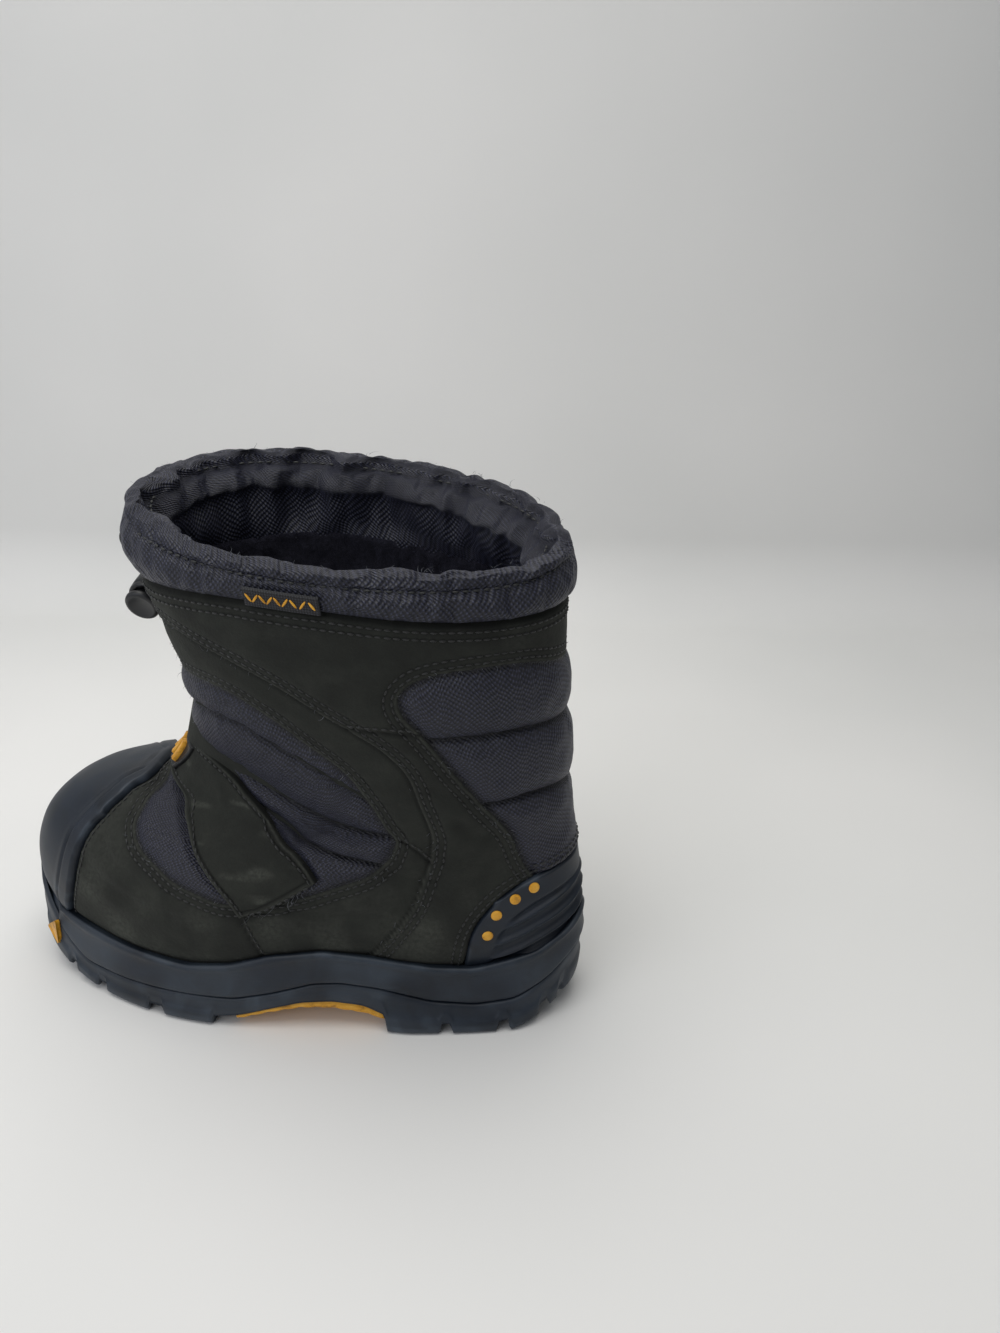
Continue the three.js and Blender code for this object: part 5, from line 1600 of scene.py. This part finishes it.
def layerMesh(name, turn, height, material, inner, thick, radius, raised=0.0, openFoot=False, **more):
    # a layer over the last: its back at a steady distance, its face thick in the middle and rounded
    # down to its edges by a quarter circle
    place, normal = onLast(turn, height)
    away = edgeReach(place, openFoot)
    rim = 0.3
    out = inner + rim + (thick - rim) * roundEdge(away, radius) + raised * smooth(0, radius, away)
    return slabMesh(name, place + normal * out[..., None], place + normal * inner, material, **more)


cap = {
    "across": 190, "up": 90, "inner": 0.5, "thick": 2.7, "radius": 1.7, "top": 72, "corner": 44,
    # how far round from the toe's middle at a height, and the height of the top at an offset
    "half": [(20, 37), (30, 42), (41, 46), (51, 48), (62, 47.5), (72, 44)],
    "crown": [(0, 84.2), (10, 84), (20, 82.6), (32, 79), (38, 76.5), (44, 72)],
    "groove": 7.5,
}
counter = {
    "across": 170, "up": 80, "inner": 0.5, "thick": 2.5, "radius": 1.3, "top": 57, "corner": 43,
    "half": [(20, 50), (30, 50.7), (37, 51), (43, 50), (49, 48), (57, 43)],
    "crown": [(0, 70), (15, 69), (29, 66), (36, 63), (43, 57)],
    "ridges": (30.5, 37, 43.5, 50, 56), "dot": 2.1, "dots": [(30, 62), (37, 58.5), (43, 52.5), (45.5, 43.5)],
}


def roundedField(part, middle):
    # columns fan out to the part's half width at each height, rows run up to its crown
    u = edgeSteps(part["across"])[:, None] * 2 - 1
    v = edgeSteps(part["up"])[None]
    sideFoot = featherHeight(np.array([middle + part["corner"]]))[0] + 0.6
    half = readTable(part["half"], sideFoot + v * (part["top"] - sideFoot), 2)
    turn = middle + u * half
    foot = featherHeight(turn[:, :1]) + 0.6
    crown = readTable(part["crown"], np.abs(u) * part["corner"], 3)
    return turn, foot + v * (crown - foot)


def makeToeCap():
    # a moulded cap with a groove that follows its rear edge, scuffed low on the outer side
    turn, height = roundedField(cap, 180)
    place, _ = onLast(turn, height)
    edge = edgeDistance(place.reshape(-1, 3), lines["cap"])[0].reshape(turn.shape)
    raised = -0.75 * bell(edge - cap["groove"], 0.75) + 0.35 * smooth(cap["groove"] + 4, cap["groove"], edge)
    raised = raised + 0.12 * patches(place, 9, 51)
    scuff = 0.8 * smooth(0.15, 0.6, patches(place, 5, 52)) * smooth(50, 34, height)
    scuff += 0.6 * bell(edge - 1.2, 1.0) * smooth(0, 0.5, patches(place, 4, 53))
    made = layerMesh("toeCapMoulded", turn, height, rubberMaterial, cap["inner"], cap["thick"], cap["radius"],
                     raised, openFoot=True, layers={"wear": np.clip(scuff, 0, 1)}, slot="rubber")
    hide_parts("toe_cap")


def makeCounter():
    # a moulded counter with curved ridges that climb round the heel
    turn, height = roundedField(counter, 0)
    place, _ = onLast(turn, height)
    raised = 0.1 * patches(place, 8, 54)
    edge = edgeDistance(place.reshape(-1, 3), lines["counter"])[0].reshape(turn.shape)
    ends = smooth(47, 40, np.abs(turn)) * smooth(8.5, 11.5, edge)
    for low in counter["ridges"]:
        half = [(46, low - 6), (36, low - 1.5), (28, low + 2.5), (18, low + 6), (8, low + 8.4), (0, low + 9)]
        ridge = seamLine(half + [(-t, h) for t, h in half[-2::-1]])
        d, _ = nearLine(place.reshape(-1, 3), ridge)
        raised = raised + (2.1 * bell(d, 1.1) - 0.3).reshape(turn.shape) * ends
    scuff = 0.7 * bell(edge - 0.8, 0.8) * smooth(-0.1, 0.5, patches(place, 4, 55))
    made = layerMesh("heelCounterMoulded", turn, height, rubberMaterial, counter["inner"], counter["thick"],
                     counter["radius"], raised, openFoot=True, layers={"wear": scuff}, slot="rubber")
    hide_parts("heel_counter")


def spot(turn, height):
    # one place on the last and the way out of it
    place, normal = onLast(np.array([float(turn)]), np.array([float(height)]))
    return place[0], normal[0]


def makeHeelDots():
    # moulded dots let into the counter along its front edge, on both sides: low domes
    outline = [(0, -0.5), (1.0, -0.5), (1.0, 0.25), (0.93, 0.42), (0.75, 0.5), (0.4, 0.54), (0, 0.55)]
    shape, shapeFaces = lathePoints(outline, 20)
    places, axes = [], []
    for turn, height in counter["dots"] + across(counter["dots"]):
        place, way = spot(turn, height)
        aside = unit(np.cross(way, [0, 0, 1.0]))
        places.append(place + way * (counter["inner"] + counter["thick"]))
        axes.append([aside * counter["dot"], np.cross(way, aside) * counter["dot"], way])
    manyMesh("heelDots", shape, shapeFaces, np.array(places), np.array(axes), amberMaterial,
             slot="yellow_rubber")


makeToeCap()
makeCounter()
makeHeelDots()

print("stage: strap")

strap = {"inner": 0.75, "thick": 2.7, "radius": 0.9, "across": 48, "perSpan": 16, "stitchIn": 2.4}


def bandField(edges, columns, perSpan):
    # rows between two edge curves, crowded at the edges
    front = throughPoints(np.array(edges["front"], float), perSpan)
    rear = throughPoints(np.array(edges["rear"], float), perSpan)
    v = edgeSteps(columns)[None, :, None]
    field = front[:, None] * (1 - v) + rear[:, None] * v
    t = edgeSteps(len(front)) * (len(front) - 1)
    low = np.clip(np.floor(t).astype(int), 0, len(front) - 2)
    f = (t - low)[:, None, None]
    return field[low] * (1 - f) + field[low + 1] * f


def makeBand(name, edges, columns, perSpan, thick, seed):
    # a nubuck band: stitched dips inside its edges with painted shade in them, soft waves and worn rims
    field = bandField(edges, columns, perSpan)
    turn, height = field[..., 0], field[..., 1]
    place, _ = onLast(turn, height)
    away = edgeReach(place)
    row = bell(away - strap["stitchIn"], 0.5)
    raised = -0.35 * row + 0.35 * smooth(3, 8, away)
    raised = raised + 0.25 * patches(place, 8, seed) + 0.1 * patches(place, 3, seed + 1)
    # long scuffs lie across the band, painted shade darkens the stitched row, and its cut edges are dark
    # underneath
    scuff = smooth(0.35, 0.75, patches(place * [0.3, 1, 1.4], 4, seed + 2))
    wear = 0.5 * bell(away - 0.9, 0.5) + 0.8 * scuff * smooth(2, 4, away)
    dark = 0.75 * row + 0.9 * (away < 0.35)
    return layerMesh(name, turn, height, nubuckMaterial, strap["inner"], thick, strap["radius"], raised,
                     layers={"wear": np.clip(wear, 0, 1), "crevice": np.clip(dark, 0, 1)}, slot="leather")


def bandStitches(edges, thick, perSpan=24):
    # one row inside each long edge and one across the first end
    front = throughPoints(np.array(edges["front"], float), perSpan)
    rear = throughPoints(np.array(edges["rear"], float), perSpan)
    place, _ = onLast(front[:, 0], front[:, 1])
    wide = np.linalg.norm(onLast(rear[:, 0], rear[:, 1])[0] - place, axis=1)
    share = (strap["stitchIn"] / wide)[:, None]
    rows = []
    step = 2 if len(front) > 60 else 4
    end = between((front[0], rear[0]), np.linspace(0, 1, 40)[:, None]) + (front[step] - front[0])
    keep = slice(step, len(front) - step)
    paths = [front * (1 - share) + rear * share, rear * (1 - share) + front * share]
    for chart in [paths[0][keep], paths[1][keep], end[5:-5]]:
        place, normal = onLast(chart[:, 0], chart[:, 1])
        rows.append(stitchPlaces(place + normal * (strap["inner"] + thick - 0.05), normal, 0.0))
    return rows


instepStrap = makeBand("instepStrap", strapEdges, strap["across"], strap["perSpan"], strap["thick"], 61)
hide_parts("strap")
anchorTab = makeBand("anchorTab", anchorEdges, 34, 26, strap["thick"] - 0.2, 65)
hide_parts("strap_anchor")
addStitches("strapStitching", bandStitches(strapEdges, strap["thick"] + 0.15)
            + bandStitches(anchorEdges, strap["thick"] - 0.05))

ring = {
    "turn": 246.5, "height": 76, "out": 3.3, "down": (0.35, 0.2, -0.9), "long": 9.2, "wide": 3.1,
    "thick": 1.3,
}


def makeRing():
    # an oval bent from round bar: a small circle carried round an ellipse
    place, outward = spot(ring["turn"], ring["height"])
    centre = place + outward * ring["out"]
    down = np.array(ring["down"])
    down = unit(down - outward * down.dot(outward))
    side = np.cross(outward, down)
    angle = fullTurn(84)[:, None]
    spoke = side * np.cos(angle) + down * np.sin(angle)
    middle = centre + side * ring["long"] * np.cos(angle) + down * ring["wide"] * np.sin(angle)
    a = fullTurn(18)[None, :, None]
    points = middle[:, None] + ring["thick"] * (spoke[:, None] * np.cos(a) + outward * np.sin(a))
    made = sweepMesh("strapRing", points, plasticMaterial, slot="hard_plastic")
    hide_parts("strap_ring")


makeRing()

badge = {"turns": (157, 203), "heights": (88.6, 102.2), "inner": 3.6, "thick": 1.7, "bars": 5, "barHigh": 1.3}


def makeBadge():
    # a moulded plate with a raised border and plain slanted bars
    u = edgeSteps(70)[:, None]
    v = edgeSteps(40)[None]
    turn = between(badge["turns"], u) + 0 * v
    height = between(badge["heights"], v) + 0 * u
    away = edgeReach(onLast(turn, height)[0])
    plate = layerMesh("badgePlate", turn, height, plasticMaterial, badge["inner"], badge["thick"], 0.9,
                      -0.35 * smooth(1.2, 1.7, away), slot="badge_plastic")
    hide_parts("strap_badge")
    u = edgeSteps(14)[:, None]
    v = edgeSteps(18)[None]
    for k in range(badge["bars"]):
        start = 0.14 + 0.155 * k
        share = start + 0.085 * u + 0.12 * (v - 0.5)
        turn = between(badge["turns"], share)
        height = between(badge["heights"], 0.14 + 0.72 * v) + 0 * u
        layerMesh("badgeBar%d" % (k + 1), turn, height, amberMaterial,
                  badge["inner"] + badge["thick"] - 0.6, 0.6 + badge["barHigh"], 0.4, slot="yellow_rubber")


makeBadge()

tab = {"half": 9.4, "foot": 1.0, "top": 191.5, "drop": 4, "inner": 2.9, "thick": 1.8}
tag = {"turns": (87, 103), "foot": 0.2, "high": 6.2, "inner": 3.0, "thick": 1.0, "bars": 9}


def makeCordTab():
    # a nubuck tab on the front of the cuff, its top edge arched
    u = edgeSteps(60)[:, None] * 2 - 1
    v = edgeSteps(50)[None]
    turn = 180 + tab["half"] * u + 0 * v
    foot = seamHeight(turn) + tab["foot"]
    height = between((foot, tab["top"] - tab["drop"] * u**2), v)
    place, _ = onLast(turn, height)
    away = edgeReach(place)
    raised = -0.2 * bell(away - 1.8, 0.5) + 0.15 * patches(place, 6, 71)
    wear = 0.8 * bell(away, 0.7)
    made = layerMesh("cordTab", turn, height, nubuckMaterial, tab["inner"], tab["thick"], 0.8, raised,
                     layers={"wear": wear}, slot="leather")
    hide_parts("cord_tab")
    outline = [(-0.8, 0.06), (-0.8, 0.86), (0.8, 0.86), (0.8, 0.1)]
    rows = []
    for a, b in zip(outline[:-1], outline[1:]):
        aside, up = (between((a[k], b[k]), np.linspace(0, 1, 60)) for k in (0, 1))
        turns = 180 + tab["half"] * aside
        foot = seamHeight(turns) + tab["foot"]
        place, normal = onLast(turns, between((foot, tab["top"] - tab["drop"] * aside**2), up))
        rows.append(stitchPlaces(place + normal * (tab["inner"] + tab["thick"]), normal, 0.05, 2.4))
    addStitches("cordTabStitching", rows)


def makeTag():
    # a folded woven tag caught in the cuff's seam, with a plain raised zigzag of amber thread
    u = edgeSteps(60)[:, None]
    v = edgeSteps(22)[None]
    turn = between(tag["turns"], u) + 0 * v
    height = seamHeight(turn) + tag["foot"] + tag["high"] * v
    layerMesh("sideTag", turn, height, cordMaterial, tag["inner"], tag["thick"], 0.45, slot="shell_cloth")
    places, axes = [], []
    for k in range(tag["bars"]):
        share = (k + 0.9) / (tag["bars"] + 0.8)
        t = between(tag["turns"], share)
        place, way = spot(t, seamHeight(t) + tag["foot"] + tag["high"] * 0.5)
        aside = unit(np.cross([0, 0, 1.0], way))
        lean = unit(np.array([0, 0, 1.0]) + aside * (0.75 if k % 2 else -0.75))
        lean = unit(lean - way * lean.dot(way))
        places.append(place + way * (tag["inner"] + tag["thick"] + 0.05))
        axes.append([np.cross(lean, way) * 0.42, way * 0.35, lean * 1.75])
    shape, shapeFaces = ballPoints(5, 10)
    manyMesh("sideTagZigzag", shape, shapeFaces, np.array(places), np.array(axes), amberMaterial,
             slot="yellow_rubber")


makeCordTab()
makeTag()


def makeEyelets():
    # small grommets where the cord leaves the tab: a ring turned about the cord's first direction
    angle = fullTurn(40)[:, None]
    a = fullTurn(12)[None, :, None]
    for (_, path), name in zip(cords, ("eyeletOuter", "eyeletInner")):
        way = unit(path[2] - path[0])
        side = unit(np.cross(way, [0, 0, 1.0]))
        up = np.cross(side, way)
        spoke = side * np.cos(angle) + up * np.sin(angle)
        middle = path[0] + way * 0.35 + spoke * 1.95
        points = middle[:, None] + 0.5 * (spoke[:, None] * np.cos(a) + way * np.sin(a))
        sweepMesh(name, points, plasticMaterial, slot="hard_plastic")


makeEyelets()

print("stage: loose fibres")

fuzz = {
    "seed": 7, "thick": 0.1, "rimHairs": 110, "frays": 14, "vampHairs": 110,
    "seams": (("front", 75), ("back", 75), ("band", 60)),
}


def hairShape(segments=5):
    # a bent three-sided hair one long: it leans over as the square of the way along it
    t = np.linspace(0, 1, segments + 1)
    path = np.stack([0.45 * t**2, 0.15 * np.sin(3 * t), t - 0.25 * t**2], 1)
    angle = fullTurn(3)
    return path, np.stack([np.cos(angle), np.sin(angle)], 1)


def manyHairs(name, places, normals, lengths, random, material):
    # each hair's own lean is turned at random about the surface's way out
    path, section = hairShape()
    n = len(places)
    aside = unit(np.cross(normals, random.normal(size=(n, 3))))
    other = np.cross(normals, aside)
    tilt = unit(normals + 0.7 * random.normal(size=(n, 3)) * [1, 1, 0.6])
    bend = lengths[:, None, None] * (path[None, :, :1] * aside[:, None] + path[None, :, 1:2] * other[:, None]
                                     + path[None, :, 2:] * tilt[:, None])
    middle = places[:, None] + bend
    taper = np.linspace(1, 0.35, path.shape[0])[None, :, None, None]
    across, up = section[None, None, :, :1], section[None, None, :, 1:]
    spokes = across * aside[:, None, None] + up * other[:, None, None]
    points = middle[:, :, None] + fuzz["thick"] * taper * spokes
    m = path.shape[0]
    quads, _ = gridQuads(m, 3, False, True)
    ends = np.array([[2, 1, 0], [(m - 1) * 3, (m - 1) * 3 + 1, (m - 1) * 3 + 2]])
    shift = (np.arange(n) * m * 3)[:, None, None]
    faces = [(quads[None] + shift).reshape(-1, 4), (ends[None] + shift).reshape(-1, 3)]
    putMesh(name, points.reshape(-1, 3), faces, material, slot="cord")


def makeFuzz():
    # lint near the seams and low on the shaft's front: places drawn at random along each seam line
    random = np.random.default_rng(fuzz["seed"])
    places, normals = [], []
    for name, count in fuzz["seams"]:
        for line in lines[name]:
            k = random.integers(0, len(line["chart"]), count)
            turn = line["chart"][k, 0] + random.normal(0, 1.2, len(k))
            height = line["chart"][k, 1] + random.normal(0, 1.2, len(k))
            place, normal = onUpper(turn, height)
            places.append(place)
            normals.append(normal)
    turn = random.uniform(150, 210, fuzz["vampHairs"])
    height = random.uniform(106, 150, fuzz["vampHairs"])
    place, normal = onUpper(turn, height)
    places, normals = np.concatenate(places + [place]), np.concatenate(normals + [normal])
    lengths = random.uniform(0.8, 2.6, len(places))
    manyHairs("edgeLint", places, normals, lengths, random, lintMaterial)
    # longer hairs of pile and yarn on the rim and inside
    turn = random.uniform(0, 360, fuzz["rimHairs"])
    out = random.uniform(-6.5, 0.5, len(turn))
    height = rimHeight(turn) - 0.1 * (out + 3) ** 2
    place = wallPoint(turn, height, out)
    normal = unit(np.array([0, 0, 1.0]) + 0.2 * random.normal(size=place.shape))
    manyHairs("rimLint", place, normal, random.uniform(0.5, 2.0, len(turn)) ** 2, random, lintMaterial)
    # threads pulled out of the strap's end
    front, rear = np.array(strapEdges["front"][0]), np.array(strapEdges["rear"][0])
    share = random.uniform(0.1, 0.95, fuzz["frays"])[:, None]
    chart = front + (rear - front) * share
    place, normal = onLast(chart[:, 0], chart[:, 1])
    place = place + normal * random.uniform(1.0, 2.8, (len(place), 1))
    manyHairs("strapFray", place, unit(normal * 0.5 + [0.2, 0, -1.0]),
              random.uniform(3, 7.5, len(place)), random,
              lintMaterial)


makeFuzz()

print("stage: backdrop and lights")

studio = {
    "turn": 9.9, "wallAt": 400, "bend": 60, "wide": 7000, "high": 2600, "near": -3200,
    "world": "#d9dce2", "worldStrength": 0.28,
}


def makeBackdrop():
    # paper laid on the floor, bent up behind in a quarter circle and on up as a wall
    reach, bend = studio["wallAt"], studio["bend"]
    angle = np.linspace(0, math.pi / 2, 24)
    arc = [(reach + bend * math.sin(a), bend - bend * math.cos(a)) for a in angle]
    profile = np.array([(studio["near"], 0)] + arc + [(reach + bend, studio["high"])])
    x = np.linspace(-studio["wide"] / 2, studio["wide"] / 2, 3)
    points = np.stack([np.repeat(x, len(profile)), np.tile(profile[:, 0], 3), np.tile(profile[:, 1], 3)], 1)
    c, s = math.cos(math.radians(studio["turn"])), math.sin(math.radians(studio["turn"]))
    points[:, :2] = points[:, :2] @ np.array([[c, s], [-s, c]])
    quads, _ = gridQuads(3, len(profile), False, False)
    mesh = bpy.data.meshes.new("backdropPaper")
    mesh.from_pydata(((points + lastOrigin) * mm).tolist(), [], quads[:, ::-1].tolist())
    mesh.polygons.foreach_set("use_smooth", np.ones(len(quads), bool))
    paper = bpy.data.objects.new("backdropPaper", mesh)
    scene.collection.objects.link(paper)
    mesh.materials.append(makeMaterial("paperSeamless", paperShader))


def addLight(name, place, target, size, power, colour, spread=180):
    # a soft box aimed from its place at its target
    data = bpy.data.lights.new(name, "AREA")
    data.shape = "RECTANGLE"
    data.size, data.size_y = (v * mm for v in size)
    data.energy = power
    data.spread = math.radians(spread)
    data.color = linear(colour)[:3]
    light = bpy.data.objects.new(name, data)
    light.visible_camera = False
    scene.collection.objects.link(light)
    light.location = Vector(place) * mm
    aim = (Vector(target) - Vector(place)).normalized()
    light.rotation_euler = aim.to_track_quat("-Z", "Y").to_euler()


def lightScene():
    # one wide soft light overhead, a large fill from the front and a weak one from the toe side
    addLight("overhead", (-60, -40, 900), (0, -20, 60), (900, 900), 4.2, "#fbfaf6", 135)
    addLight("frontFill", (-420, -850, 620), (0, 0, 90), (900, 600), 2.9, "#f4f7ff")
    addLight("toeSide", (-800, -250, 420), (0, 0, 80), (500, 500), 0.6, "#f6f8ff")
    world = bpy.data.worlds.new("studio")
    world.use_nodes = True
    background = world.node_tree.nodes["Background"]
    background.inputs["Color"].default_value = linear(studio["world"])
    background.inputs["Strength"].default_value = studio["worldStrength"]
    scene.world = world
    scene.view_settings.view_transform = "Standard"


makeBackdrop()
lightScene()
